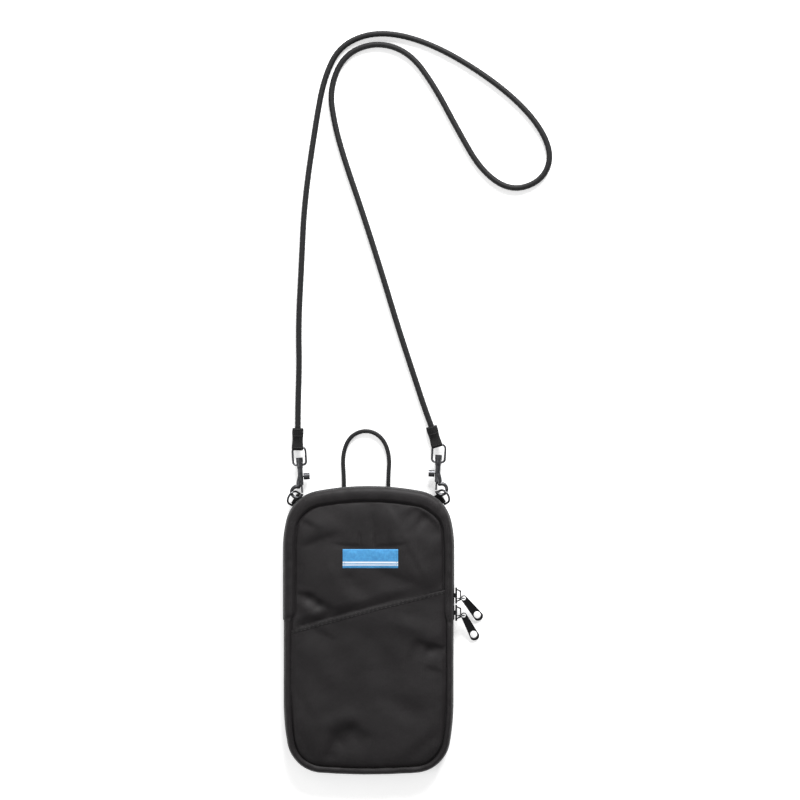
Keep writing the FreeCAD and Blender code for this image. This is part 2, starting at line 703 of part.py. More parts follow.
def tube(label, points, radius):
    """A round cord along straight runs joined by tangent arcs, each taking nearly half of its runs."""
    edges = []
    tightest = 1000
    last = points[0]
    for before, corner, after in zip(points, points[1:], points[2:]):
        back = before - corner
        ahead = after - corner
        half_turn = (math.pi - back.getAngle(ahead)) / 2
        cut = BEND_SHARE * min(back.Length, ahead.Length)
        bend_radius = cut / math.tan(half_turn)
        tightest = min(tightest, bend_radius)
        enter = corner + back.normalize() * cut
        leave = corner + ahead.normalize() * cut
        toward = (back + ahead).normalize()
        middle = corner + toward * (bend_radius / math.cos(half_turn) - bend_radius)
        edges.append(Part.LineSegment(last, enter).toShape())
        edges.append(Part.Arc(enter, middle, leave).toShape())
        last = leave
    edges.append(Part.LineSegment(last, points[-1]).toShape())
    path = Part.Wire(edges)
    length = path.Length
    start_way = (points[1] - points[0]).normalize()
    section = Part.Wire([Part.Circle(points[0], start_way, radius).toShape()])
    shape = path.makePipeShell([section], True, False)
    made = doc.addObject("Part::Feature", label)
    made.Shape = shape
    keep(label, made)
    expected = math.pi * radius ** 2 * length
    print(label, "length", round(length, 1), "tightest bend", round(tightest, 1),
          "volume over expected", round(shape.Volume / expected, 4))


BEND_SHARE = 0.45
STRAP_ROUTE = [
    (-46.9, 133.4), (-46.9, 148), (-46.0, 174), (-46.5, 204), (-44.6, 240), (-42.6, 284),
    (-35.0, 336), (-29.5, 366), (-18.5, 388), (7.5, 397), (42, 388.5), (82, 364.5),
    (110, 339), (122, 315), (114.5, 297), (94, 290.5), (74.5, 304), (59, 331),
    (43, 361), (27, 382.5), (5, 389.5), (-16.5, 381), (-26, 358), (-22.5, 334),
    (-16, 311), (-5, 279), (7.5, 240), (19.5, 200), (31, 165), (37.4, 145.5), (41.5, 134.6),
]
LOOP_ROUTE = [
    (-16.3, 91), (-16.4, 101), (-17.4, 115.5), (-13.5, 126.8), (-5.5, 131.9), (3.5, 131.2),
    (10.6, 125.0), (13.9, 114), (12.9, 101), (13.0, 91),
]


def cords():
    strap = [V(x, y, size("cord_z")) for x, y in STRAP_ROUTE]
    tube("strap_cord", strap, size("cord_radius"))
    loop = [V(x, y, size("loop_z")) for x, y in LOOP_ROUTE]
    tube("grab_loop", loop, size("loop_radius"))


# ---------------------------------------------------------------- build

pouch_cloth()
gussets()
zip_strips()
zip_stops()
front_pocket()
woven_label()
inside_pieces()
slider("lower_slider", size("low_slider_y"))
slider("upper_slider", size("high_slider_y"))
pull_set("lower", size("low_slider_y"), size("low_pull_turn"))
pull_set("upper", size("high_slider_y"), size("high_pull_turn"))
cords()
for side, name in ((-1, "left"), (1, "right")):
    hang = hook_placement(side)
    bail(name + "_bail", hang)
    hook(name + "_hook", side, hang)
    snap_bolt(name + "_bolt", side, hang)
    bolt_spring(name + "_bolt_spring", side, hang)
    ring_at, outward = ring_placement(side, hang)
    d_ring(name + "_d_ring", ring_at)
    ring_tab(name + "_ring_tab", ring_at, outward)
    print(name, "hook at", tuple(hang.Base), "shaft way", tuple(hang.Rotation.multVec(V(0, 1, 0))),
          "ring bar at", tuple(ring_at.Base), "bar way", tuple(ring_at.Rotation.multVec(V(1, 0, 0))))
sleeve("left_sleeve", V(-46.9, 133.4, 0), V(-47.2, 118.6, 0), hook_placement(-1))
sleeve("right_sleeve", V(41.5, 134.6, 0), V(45.4, 120.6, 0), hook_placement(1))

doc.recompute()
for item in doc.Objects:
    assert "Invalid" not in item.State and "Error" not in item.State, item.Label
os.makedirs("parts", exist_ok=True)
for node in nodes:
    shape = node.Shape
    assert not shape.isNull() and shape.isValid() and shape.Volume > 0, node.Label
    shape.exportStep("parts/%s.step" % node.Label)
print(len(nodes), "nodes")
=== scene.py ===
import json
import math

import bmesh
import bpy
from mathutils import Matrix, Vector, noise


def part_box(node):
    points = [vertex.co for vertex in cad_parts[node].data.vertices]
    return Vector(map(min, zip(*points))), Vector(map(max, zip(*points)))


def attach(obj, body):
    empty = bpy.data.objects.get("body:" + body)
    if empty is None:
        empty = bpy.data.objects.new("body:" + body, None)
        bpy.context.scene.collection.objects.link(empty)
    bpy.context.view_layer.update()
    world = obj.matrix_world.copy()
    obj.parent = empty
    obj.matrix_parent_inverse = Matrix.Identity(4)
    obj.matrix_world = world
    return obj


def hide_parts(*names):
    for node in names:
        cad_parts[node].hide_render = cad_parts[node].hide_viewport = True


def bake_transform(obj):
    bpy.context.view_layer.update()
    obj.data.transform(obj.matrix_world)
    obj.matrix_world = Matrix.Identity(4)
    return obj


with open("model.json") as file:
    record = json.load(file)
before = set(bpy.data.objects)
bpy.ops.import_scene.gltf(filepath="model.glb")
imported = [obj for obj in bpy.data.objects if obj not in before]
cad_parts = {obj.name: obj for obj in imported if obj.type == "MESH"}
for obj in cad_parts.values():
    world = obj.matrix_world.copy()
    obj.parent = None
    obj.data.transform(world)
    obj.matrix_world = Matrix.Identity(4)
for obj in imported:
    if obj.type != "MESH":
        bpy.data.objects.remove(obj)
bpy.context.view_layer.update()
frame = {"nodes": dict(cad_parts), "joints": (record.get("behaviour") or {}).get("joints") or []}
MM = 0.001
TINY = 1e-9

# ------------------------------------------------------------------ camera

# The camera looks straight down. VIEW_WIDTH is how much it sees across at the height of the pouch's middle.
VIEW_WIDTH = 0.5285
VIEW_X = 0.0207
VIEW_Y = 0.1522
CAMERA_HEIGHT = 2.2
POUCH_MIDDLE = 0.008
SENSOR = 36.0


def add_camera():
    data = bpy.data.cameras.new("photo_camera")
    data.sensor_width = SENSOR
    data.lens = SENSOR * (CAMERA_HEIGHT - POUCH_MIDDLE) / VIEW_WIDTH
    camera = bpy.data.objects.new("photo_camera", data)
    camera.location = (VIEW_X, VIEW_Y, CAMERA_HEIGHT)
    bpy.context.scene.collection.objects.link(camera)
    bpy.context.scene.camera = camera


add_camera()

# ------------------------------------------------------------------ materials

# How sharply a weave changes over from one side of a fold to the next: higher is sharper.
WEAVE_BLEND = 5.0


class Nodes:
    """A short way to build a material's node tree."""

    def __init__(self, name):
        self.material = bpy.data.materials.new(name)
        self.material.use_nodes = True
        self.tree = self.material.node_tree
        self.shader = self.tree.nodes["Principled BSDF"]
        self.coords = self.tree.nodes.new("ShaderNodeTexCoord")

    def add(self, kind, **values):
        node = self.tree.nodes.new(kind)
        for key, value in values.items():
            if key in node.inputs:
                node.inputs[key].default_value = value
            else:
                setattr(node, key, value)
        return node

    def link(self, out, into):
        self.tree.links.new(out, into)

    def mapping(self, scale, turn=0.0, source="Object"):
        node = self.add("ShaderNodeMapping")
        node.inputs["Scale"].default_value = scale
        node.inputs["Rotation"].default_value = (0, 0, turn)
        self.link(self.coords.outputs[source], node.inputs["Vector"])
        return node.outputs["Vector"]

    def noise(self, scale, detail=3.0, rough=0.5):
        node = self.add("ShaderNodeTexNoise", Scale=scale, Detail=detail, Roughness=rough)
        self.link(self.coords.outputs["Object"], node.inputs["Vector"])
        return node.outputs["Fac"]

    def ramp(self, value, low, high, colour_low, colour_high):
        node = self.add("ShaderNodeValToRGB")
        node.color_ramp.elements[0].position = low
        node.color_ramp.elements[1].position = high
        node.color_ramp.elements[0].color = (*colour_low, 1)
        node.color_ramp.elements[1].color = (*colour_high, 1)
        self.link(value, node.inputs["Fac"])
        return node.outputs["Color"]

    def math(self, operation, a, b):
        node = self.add("ShaderNodeMath", operation=operation)
        for socket, value in zip(node.inputs, (a, b)):
            if isinstance(value, (int, float)):
                socket.default_value = value
            else:
                self.link(value, socket)
        return node.outputs["Value"]

    def bump(self, height, distance, strength=1.0, normal=None):
        node = self.add("ShaderNodeBump", Strength=strength, Distance=distance)
        self.link(height, node.inputs["Height"])
        if normal is not None:
            self.link(normal, node.inputs["Normal"])
        return node.outputs["Normal"]

    def set(self, **values):
        for key, value in values.items():
            self.shader.inputs[key.replace("_", " ")].default_value = value

    def finish_colour(self, colour, normal, roughness):
        self.link(colour, self.shader.inputs["Base Color"])
        self.link(normal, self.shader.inputs["Normal"])
        self.link(roughness, self.shader.inputs["Roughness"])
        return self.material


def crossed_threads(kit, places, axis, other):
    """Threads along one axis crossing over and under those along another."""
    total = None
    for first, second in ((axis, other), (other, axis)):
        across = kit.math("SINE", kit.math("MULTIPLY", places[first], math.pi * 2), 0.0)
        along = kit.math("SINE", kit.math("MULTIPLY", places[second], math.pi), 0.0)
        wave = kit.math("MULTIPLY", across, along)
        total = wave if total is None else kit.math("ADD", total, wave)
    return total


def weave_height(kit, thread, turn=0.0):
    """A weave with a thread every so many metres, laid square-on to the way each part of the cloth faces."""
    place = kit.add("ShaderNodeSeparateXYZ")
    kit.link(kit.mapping((1 / thread, 1 / thread, 1 / thread), turn), place.inputs[0])
    facing = kit.add("ShaderNodeSeparateXYZ")
    kit.link(kit.coords.outputs["Normal"], facing.inputs[0])
    total = None
    for face, axis, other in (("Z", "X", "Y"), ("X", "Y", "Z"), ("Y", "X", "Z")):
        share = kit.math("POWER", kit.math("ABSOLUTE", facing.outputs[face], 0.0), WEAVE_BLEND)
        part = kit.math("MULTIPLY", crossed_threads(kit, place.outputs, axis, other), share)
        total = part if total is None else kit.math("ADD", total, part)
    return total


def cloth(name, dark, light, thread, rough=0.62, sheen=0.05, turn=0.0, bump=0.00006):
    """Woven cloth, a little mottled and a little shiny where the threads stand up."""
    kit = Nodes(name)
    broad = kit.noise(38, 4, 0.55)
    fine = kit.noise(900, 2, 0.6)
    mixed = kit.math("ADD", kit.math("MULTIPLY", broad, 0.65), kit.math("MULTIPLY", fine, 0.35))
    colour = kit.ramp(mixed, 0.3, 0.72, dark, light)
    height = weave_height(kit, thread, turn)
    normal = kit.bump(height, bump, 0.8)
    soft = kit.bump(kit.noise(160, 3, 0.55), 0.00035, 0.5, normal)
    roughness = kit.math("ADD", kit.math("MULTIPLY", fine, 0.18), rough - 0.09)
    kit.set(Sheen_Weight=sheen, Sheen_Roughness=0.45, Specular_IOR_Level=0.16)
    return kit.finish_colour(colour, soft, roughness)


def braid_cloth(name, dark, light, strand, rough=0.6):
    """The yarn of a braided cord, laid along the cord and round it."""
    kit = Nodes(name)
    vector = kit.mapping((1, 1, 1), 0, "UV")
    wave = kit.add("ShaderNodeTexWave", Scale=1.0 / strand, Distortion=1.2, Detail=1.0)
    wave.bands_direction = "DIAGONAL"
    kit.link(vector, wave.inputs["Vector"])
    fuzz = kit.noise(1500, 3, 0.6)
    mixed = kit.math("ADD", kit.math("MULTIPLY", wave.outputs["Fac"], 0.45), kit.math("MULTIPLY", fuzz, 0.55))
    colour = kit.ramp(mixed, 0.25, 0.8, dark, light)
    normal = kit.bump(wave.outputs["Fac"], 0.00008, 0.6)
    normal = kit.bump(fuzz, 0.00006, 0.5, normal)
    roughness = kit.math("ADD", kit.math("MULTIPLY", fuzz, 0.2), rough - 0.1)
    kit.set(Sheen_Weight=0.06, Sheen_Roughness=0.4, Specular_IOR_Level=0.2)
    return kit.finish_colour(colour, normal, roughness)


def metal(name, dark, light, rough):
    """Dark plated metal with faint casting marks and brighter rubbed spots."""
    kit = Nodes(name)
    wear = kit.noise(420, 4, 0.6)
    colour = kit.ramp(wear, 0.35, 0.75, dark, light)
    roughness = kit.math("ADD", kit.math("MULTIPLY", kit.noise(900, 3, 0.6), 0.22), rough - 0.11)
    normal = kit.bump(kit.noise(700, 3, 0.5), 0.00003, 0.4)
    kit.set(Metallic=1.0, Coat_Weight=0.15, Coat_Roughness=0.2)
    return kit.finish_colour(colour, normal, roughness)


def plastic(name, dark, light, rough):
    """Nylon thread or moulded nylon, with a fine grain."""
    kit = Nodes(name)
    grain = kit.noise(1200, 3, 0.6)
    colour = kit.ramp(grain, 0.3, 0.8, dark, light)
    roughness = kit.math("ADD", kit.math("MULTIPLY", grain, 0.2), rough - 0.1)
    return kit.finish_colour(colour, kit.bump(grain, 0.00002, 0.4), roughness)


def pull_enamel():
    """Glossy black enamel on a pull tab's two faces, with its thin edges rubbed down to the metal."""
    kit = Nodes("pull_enamel")
    split = kit.add("ShaderNodeSeparateXYZ")
    kit.link(kit.coords.outputs["Normal"], split.inputs[0])
    facing = kit.math("ABSOLUTE", split.outputs["Z"], 0.0)
    wear = kit.math("ADD", facing, kit.math("MULTIPLY", kit.noise(1400, 2), 0.1))
    colour = kit.ramp(wear, 0.80, 0.93, (0.20, 0.20, 0.21), (0.008, 0.008, 0.009))
    roughness = kit.math("ADD", kit.math("MULTIPLY", kit.noise(700, 3), 0.16), 0.2)
    normal = kit.bump(kit.noise(900, 2), 0.00002, 0.3)
    kit.set(Metallic=0.6, Specular_IOR_Level=0.5)
    return kit.finish_colour(colour, normal, roughness)


# The middle and half width of each white stripe on the label, as shares of its height.
LABEL_STRIPES = ((0.30, 0.045), (0.17, 0.03))


def label_cloth(box_low, box_high):
    """A blue woven label with two plain white stripes low down."""
    kit = Nodes("label_weave")
    split = kit.add("ShaderNodeSeparateXYZ")
    kit.link(kit.coords.outputs["Object"], split.inputs[0])
    height = box_high.y - box_low.y
    share = kit.math("DIVIDE", kit.math("SUBTRACT", split.outputs["Y"], box_low.y), height)
    blue = kit.ramp(kit.noise(500, 3, 0.6), 0.3, 0.75, (0.030, 0.205, 0.46), (0.06, 0.32, 0.62))
    stripes = None
    for middle, half in LABEL_STRIPES:
        off = kit.math("ABSOLUTE", kit.math("SUBTRACT", share, middle), 0.0)
        band = kit.math("LESS_THAN", off, half)
        stripes = band if stripes is None else kit.math("MAXIMUM", stripes, band)
    mix = kit.add("ShaderNodeMix", data_type="RGBA")
    kit.link(stripes, mix.inputs["Factor"])
    kit.link(blue, mix.inputs["A"])
    mix.inputs["B"].default_value = (0.72, 0.76, 0.80, 1)
    normal = kit.bump(weave_height(kit, 0.00045, 0.785), 0.00008, 0.9)
    roughness = kit.math("ADD", kit.math("MULTIPLY", kit.noise(800), 0.15), 0.5)
    kit.set(Sheen_Weight=0.2, Specular_IOR_Level=0.4)
    return kit.finish_colour(mix.outputs["Result"], normal, roughness)


NYLON = cloth("pouch_nylon", (0.0078, 0.0068, 0.0073), (0.0155, 0.0138, 0.0146), 0.00055, 0.5, 0.03)
HEM = cloth("hem_tape", (0.0075, 0.0067, 0.0071), (0.015, 0.0135, 0.014), 0.0005, 0.52, 0.03, 0.785)
TAPE = cloth("zip_tape", (0.007, 0.007, 0.007), (0.014, 0.014, 0.0145), 0.0005, 0.7, 0.04)
LINING = cloth("grey_lining", (0.07, 0.072, 0.076), (0.11, 0.112, 0.118), 0.0004, 0.66, 0.2)
WEBBING = cloth("webbing", (0.003, 0.003, 0.003), (0.011, 0.011, 0.0115), 0.0009, 0.6, 0.04, 0.1, 0.00016)
CORD = braid_cloth("cord_braid", (0.004, 0.004, 0.004), (0.018, 0.018, 0.0195), 0.0010, 0.55)
THREAD = plastic("stitch_thread", (0.008, 0.007, 0.008), (0.020, 0.019, 0.020), 0.55)
COIL = plastic("zip_coil", (0.010, 0.010, 0.011), (0.024, 0.024, 0.026), 0.38)
GUNMETAL = metal("gunmetal", (0.045, 0.046, 0.050), (0.115, 0.116, 0.122), 0.36)
STEEL = metal("spring_steel", (0.35, 0.35, 0.36), (0.5, 0.5, 0.5), 0.3)
DARK_METAL = metal("slider_enamel", (0.018, 0.018, 0.020), (0.055, 0.055, 0.058), 0.34)
PULL = pull_enamel()
STITCH_BLUE = plastic("label_thread", (0.03, 0.16, 0.34), (0.05, 0.24, 0.46), 0.5)

# ------------------------------------------------------------------ sizes read from the frame

# All in millimetres. FRONT is the height of the front face, and CHAIN_MID that of the zip's middle line.
# The zip runs from ZIP_START up and round the top, and the flap folds at FOLD.
HALF_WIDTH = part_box("bottom_gusset")[1].x / MM
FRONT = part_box("bottom_gusset")[1].z / MM
ZIP_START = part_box("back_gusset")[0].y / MM
HALF_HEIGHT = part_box("back_gusset")[1].y / MM
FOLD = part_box("front_panel")[1].y / MM
BACK_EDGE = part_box("back_tape")[0].z / MM
FRONT_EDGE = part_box("side_gusset")[0].z / MM
CHAIN_MID = (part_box("back_coil")[1].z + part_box("side_coil")[0].z) / 2 / MM

# ------------------------------------------------------------------ mesh helpers


def mesh_object(name, points, faces, material):
    mesh = bpy.data.meshes.new(name)
    mesh.from_pydata([Vector(p) * MM for p in points], [], faces)
    mesh.update()
    mesh.shade_smooth()
    mesh.materials.append(material)
    obj = bpy.data.objects.new(name, mesh)
    bpy.context.scene.collection.objects.link(obj)
    return obj


def grid_faces(rows, columns, wrap=False):
    """Quads between the points of a grid, closed into a ring along its rows if it wraps."""
    faces = []
    for i in range(rows - 1):
        for j in range(columns if wrap else columns - 1):
            k = (j + 1) % columns
            faces.append((i * columns + j, i * columns + k, (i + 1) * columns + k, (i + 1) * columns + j))
    return faces


def applied(obj):
    """The object with its modifiers worked into its mesh."""
    graph = bpy.context.evaluated_depsgraph_get()
    mesh = bpy.data.meshes.new_from_object(obj.evaluated_get(graph))
    obj.modifiers.clear()
    obj.data = mesh
    return obj


def thicken(obj, thickness, offset=-1.0):
    """Gives a sheet its thickness: all below it at an offset of -1, half each way at 0."""
    modifier = obj.modifiers.new("thickness", "SOLIDIFY")
    modifier.thickness = thickness * MM
    modifier.offset = offset
    return applied(obj)


def face_up(obj):
    """Turns the faces so that their normals agree, mostly upwards or outwards."""
    mesh = bmesh.new()
    mesh.from_mesh(obj.data)
    bmesh.ops.recalc_face_normals(mesh, faces=mesh.faces)
    mesh.to_mesh(obj.data)
    mesh.free()
    return obj


def merge(obj, distance):
    """Joins points that lie on top of each other."""
    mesh = bmesh.new()
    mesh.from_mesh(obj.data)
    bmesh.ops.remove_doubles(mesh, verts=mesh.verts, dist=distance * MM)
    mesh.to_mesh(obj.data)
    mesh.free()


def shifted(faces, first):
    """The same faces for points that begin further down the list."""
    return [tuple(first + corner for corner in face) for face in faces]


def lengths_along(points):
    """How far along a line each of its points is."""
    lengths = [0.0]
    for a, b in zip(points, points[1:]):
        lengths.append(lengths[-1] + (b - a).length)
    return lengths


# ------------------------------------------------------------------ how a piece joins the object


def place_piece(obj, slot, *nodes):
    """Puts a piece on the pouch in place of the CAD nodes it stands for."""
    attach(obj, "pouch")
    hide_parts(*nodes)


def place_over_fold(obj, slot, *nodes):
    """Puts a piece across the fold in place of the CAD nodes it stands for, its placement worked into its
    mesh.
    """
    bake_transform(obj)
    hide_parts(*nodes)


# ------------------------------------------------------------------ the pouch's outline

# Each end is a wide arc, a corner and a slightly bowed shoulder: the three radii, and how many degrees the
# outline has turned where the shoulder takes over from the corner.
TOP_END = (183, 25.5, 80, 77)
BASE_END = (440, 24, 160, 80)
DRAFT_STEP = 0.4
STEP = 1.1


def end_stations(way, crown, corner, shoulder, turn_degrees):
    """Points and outward normals from the middle of one end to the straight side, on the right."""
    turn = math.radians(turn_degrees)
    flat = HALF_WIDTH - corner * math.sin(turn) - shoulder * (1 - math.sin(turn))
    lean = math.asin(flat / (crown - corner))
    crown_mid = Vector((0, HALF_HEIGHT - crown))
    corner_mid = crown_mid + (crown - corner) * Vector((math.sin(lean), math.cos(lean)))
    shoulder_mid = corner_mid + (corner - shoulder) * Vector((math.sin(turn), math.cos(turn)))
    stations = []
    for mid, radius, begin, end in (
        (crown_mid, crown, 0, lean),
        (corner_mid, corner, lean, turn),
        (shoulder_mid, shoulder, turn, math.pi / 2),
    ):
        count = max(3, round(radius * (end - begin) / DRAFT_STEP))
        for i in range(count):
            t = begin + (end - begin) * i / count
            normal = Vector((math.sin(t), math.cos(t)))
            point = mid + radius * normal
            stations.append((Vector((point.x, way * point.y)), Vector((normal.x, way * normal.y))))
    return stations, way * shoulder_mid.y


def outline_stations():
    """Evenly spaced points and outward normals round the pouch, from the middle of the top, clockwise."""
    top, top_y = end_stations(1, *TOP_END)
    base, base_y = end_stations(-1, *BASE_END)
    side_count = round((top_y - base_y) / DRAFT_STEP)
    side = [
        (Vector((HALF_WIDTH, top_y + (base_y - top_y) * i / side_count)), Vector((1, 0)))
        for i in range(side_count + 1)
    ]
    right = top + side + base[::-1]
    left = [(Vector((-p.x, p.y)), Vector((-n.x, n.y))) for p, n in right[::-1]]
    dense = right + left[1:-1]
    lengths = lengths_along([p for p, _ in dense + dense[:1]])
    count = round(lengths[-1] / STEP)
    even = []
    k = 0
    for i in range(count):
        target = lengths[-1] * i / count
        while lengths[k + 1] < target:
            k += 1
        share = (target - lengths[k]) / max(lengths[k + 1] - lengths[k], TINY)
        a, b = dense[k], dense[(k + 1) % len(dense)]
        even.append((a[0].lerp(b[0], share), a[1].lerp(b[1], share).normalized()))
    return even


STATIONS = outline_stations()


def smooth_step(value, low, high):
    """Rises smoothly from 0 at low to 1 at high."""
    t = min(1.0, max(0.0, (value - low) / (high - low)))
    return t * t * (3 - 2 * t)


# How far in from the edge the front seam runs below the zip's ends, above them on each side, and at the top.
SEAM_LOW = 4.9
SEAM_LEFT = 7.4
SEAM_RIGHT = 6.4
SEAM_TOP = 9.2


def seam_inset(point):
    upper = SEAM_LEFT if point.x < 0 else SEAM_RIGHT
    inset = SEAM_LOW + (upper - SEAM_LOW) * smooth_step(point.y, 5, 13)
    return inset + (SEAM_TOP - inset) * smooth_step(point.y, 70, 90)


# ------------------------------------------------------------------ relief of the soft cloth

# Each crease: start, end, half width and height in millimetres, and how lopsided it is: a lopsided
# crease is steep on the left of its run and rises slowly again on the right.
CREASES = [
    ((-48, 25.0), (-38, 23.4), 1.3, -1.1, 0.8),
    ((-39, 23.6), (-31, 18.2), 1.4, -1.2, 0.8),
    ((-32, 18.6), (-24, 14.0), 1.6, -0.8, 0.7),
    ((-44, 17), (-33, 9), 4.5, 0.9, 0.0),
    ((-50, 75), (-37, 68.5), 2.2, -1.0, 0.6),
    ((29, 81.5), (38, 75), 2.2, -1.2, 0.8),
    ((37, 75.5), (47.5, 66.5), 2.5, -1.5, 0.9),
    ((35, 82), (50, 69), 1.8, 0.8, 0.0),
    ((12, 82), (24, 58), 3.0, 0.7, 0.5),
    ((24, 62), (38, 34), 3.4, 0.8, 0.7),
    ((20, 66), (33, 38), 3.0, -0.5, 0.0),
    ((-42, 55), (-21, 63), 3.6, -1.1, 0.5),
    ((-47, 62), (-30, 72), 4.0, 0.6, 0.0),
    ((-20, 56.8), (-4, 55.6), 1.0, -0.45, 0.5),
    ((4, 55.4), (22, 56.8), 1.0, -0.45, 0.5),
    ((-5.5, 57), (-5.8, 64), 0.8, -0.35, 0.0),
    ((3.5, 57), (3.9, 63), 0.8, -0.35, 0.0),
    ((12, 57), (13.5, 66), 1.0, -0.3, 0.0),
    ((-12, 62), (-9, 86), 3.5, 0.35, 0.0),
    ((3, 62), (1, 86), 3.0, -0.35, 0.0),
    ((-27, 42), (-14, 20), 4.5, 0.7, 0.6),
    ((-14, 36), (2, 22), 5.5, -0.6, 0.0),
    ((10, 38), (34, 29), 3.2, -0.6, 0.3),
]
POCKET_CREASES = [
    ((32, -7.5), (42, -12.5), 2.6, -1.1, 0.8),
    ((40, -9.5), (51, -12.0), 1.5, -1.2, 0.9),
    ((18, 6), (46, -4), 6.0, 0.8, 0.0),
    ((-27, -84), (-21, -70), 3.4, -1.0, 0.5),
    ((-22, -69), (-9, -63.5), 3.6, -1.3, 0.7),
    ((-12, -64), (0, -71), 3.2, -0.9, 0.5),
    ((-30, -62), (-10, -55), 5.0, 0.7, 0.0),
    ((-4, 2), (18, -30), 9.0, -0.8, 0.0),
    ((-44, -8), (-20, -34), 8.0, 0.6, 0.0),
    ((10, -44), (34, -56), 6.0, -0.6, 0.0),
    ((-50, -38), (-38, -58), 4.0, -0.6, 0.3),
    ((-47, -66), (-36, -86), 3.5, -0.8, 0.3),
    ((24, -86), (46, -68), 4.0, -0.6, 0.2),
    ((38, -24), (51, -29), 1.8, -0.5, 0.4),
    ((-38, 2), (-24, -6), 2.6, -0.5, 0.3),
]
CREASE_DEPTH = 1.5
# Where each cloth's gentle unevenness is read from the noise.
FRONT_SEED = 1.3
POCKET_SEED = 4.6
# How far the padded front rises from its seam, and how far its lower end sinks.
PANEL_RISE = 2.4
END_FALL = 2.2
# How far below the front face the front seam lies, and how far the gusset puffs out beside it.
SEAM_DEPTH = 1.6
GUSSET_PUFF = 1.35
# How far the cloth turns in beside the zip.
ZIP_INSET = 0.35
# How far the front dips at the pocket's mouth.
MOUTH_DIP = 2.1
# Far enough in from the seams that they don't pull on the cloth.
MID_PANEL = 30


def crease_height(x, y, creases):
    """The creases that pass this place, added together."""
    total = 0.0
    for (ax, ay), (bx, by), width, height, step in creases:
        run = Vector((bx - ax, by - ay))
        off = Vector((x - ax, y - ay))
        along = off.dot(run) / run.length_squared
        if along < -0.5 or along > 1.5:
            continue
        across = (run.x * off.y - run.y * off.x) / run.length / width
        if across < 0:
            across /= 1 + 3.5 * step
        if abs(across) > 3:
            continue
        fade = smooth_step(along, -0.35, 0.25) * (1 - smooth_step(along, 0.75, 1.35))
        total += CREASE_DEPTH * height * fade * math.exp(-across * across)
    return total


def drift(x, y, scale, seed):
    """Smooth unevenness that changes over about one scale."""
    return noise.noise(Vector((x / scale, y / scale, seed)))


def panel_height(x, y, edge, creases, seed):
    """Height of the front cloth: a slack pad with soft dents, and small puckers beside its seams."""
    edge = max(edge, 0)
    dome = PANEL_RISE * (1 - math.exp(-edge / 8.0))
    slack = 0.9 * drift(x, y, 31, seed) + 0.45 * drift(x, y, 13, seed + 7) + 0.10 * drift(x, y, 5, seed + 3)
    pucker = 0.45 * drift(x, y, 6.5, seed + 11) * math.exp(-edge / 4.5)
    hold = 1 - math.exp(-edge / 3.5)
    height = FRONT - PANEL_RISE + dome + (slack + crease_height(x, y, creases)) * hold + pucker
    return height - mouth_dip(x, y) - 1.8 * math.exp(-max(y - base_seam_y(x), 0) / 5.5)


def mouth_dip(x, y):
    """The panel sinks a little towards the pocket's mouth, most of all at its lower end."""
    above_mouth = y - slant_y(x)
    share = 1 - 0.75 * smooth_step(x, 0, 44)
    inside = smooth_step(HALF_WIDTH - 5 - abs(x), 0, 9)
    near = smooth_step(1 - max(above_mouth, 0) / 8.5, 0, 1)
    return MOUTH_DIP * share * inside * near * (above_mouth > 0)


def front_height(x, y, edge):
    return panel_height(x, y, edge, CREASES, FRONT_SEED)


def pocket_height(x, y, edge):
    return panel_height(x, y, edge, POCKET_CREASES, POCKET_SEED)


def end_fall(point):
    """How far the front's seam sinks towards the bottom of the pouch."""
    return END_FALL * smooth_step(-point.y, 55, 92)


# The rings of a panel close in on a line up its middle, this far above and below the centre.
SPINE = 46.0
PANEL_RINGS = 34
BACK_RINGS = 12
GUSSET_ROWS = 10
# The rows of the groove at the front seam: how far in from the seam each one is, and how deep.
SEAM_GROOVE = ((-0.5, 0.3), (-0.1, 1.0), (0.35, 1.6), (0.8, 1.5))


def spine_point(point):
    return Vector((0, max(-SPINE, min(SPINE, point.y))))


def zip_share(point):
    """1 where the zip parts the gusset, 0 below it."""
    return smooth_step(point.y, ZIP_START - 1.5, ZIP_START + 0.5)


def gusset_row(index):
    """One row of the roll from the zip, or from the gusset's middle line, over to the front seam."""
    turn = math.pi / 2 * index / GUSSET_ROWS
    across = math.sin(math.pi * index / GUSSET_ROWS)
    row = []
    for point, normal in STATIONS:
        zipped = zip_share(point)
        edge_z = CHAIN_MID + (FRONT_EDGE - 0.3 - CHAIN_MID) * zipped
        if index == 0:
            place = point - normal * ZIP_INSET * zipped
            row.append((place.x, place.y, edge_z - 0.05))
            continue
        ripple = 0.25 * drift(point.x, point.y, 7, 2.5) * across
        puff = GUSSET_PUFF * math.sin(2 * turn) + 0.55 * drift(point.x, point.y, 5.5, 12.5) * across
        seam_dip = end_seam(point) * math.sin(math.pi * index / (GUSSET_ROWS + 1))
        place = point - normal * ((seam_inset(point) - 0.6) * (1 - math.cos(turn)) - ripple)
        rise = FRONT - SEAM_DEPTH - end_fall(point) - edge_z
        row.append((place.x, place.y, edge_z + rise * math.sin(turn) + puff - seam_dip))
    return row


def groove_row(more, drop):
    """One row of the groove where the gusset and the front panel are sewn together."""
    row = []
    for point, normal in STATIONS:
        wander = 0.25 * drift(point.x, point.y, 5, 6.6)
        place = point - normal * (seam_inset(point) + more + wander)
        row.append((place.x, place.y, FRONT - SEAM_DEPTH - drop - end_fall(point)))
    return row


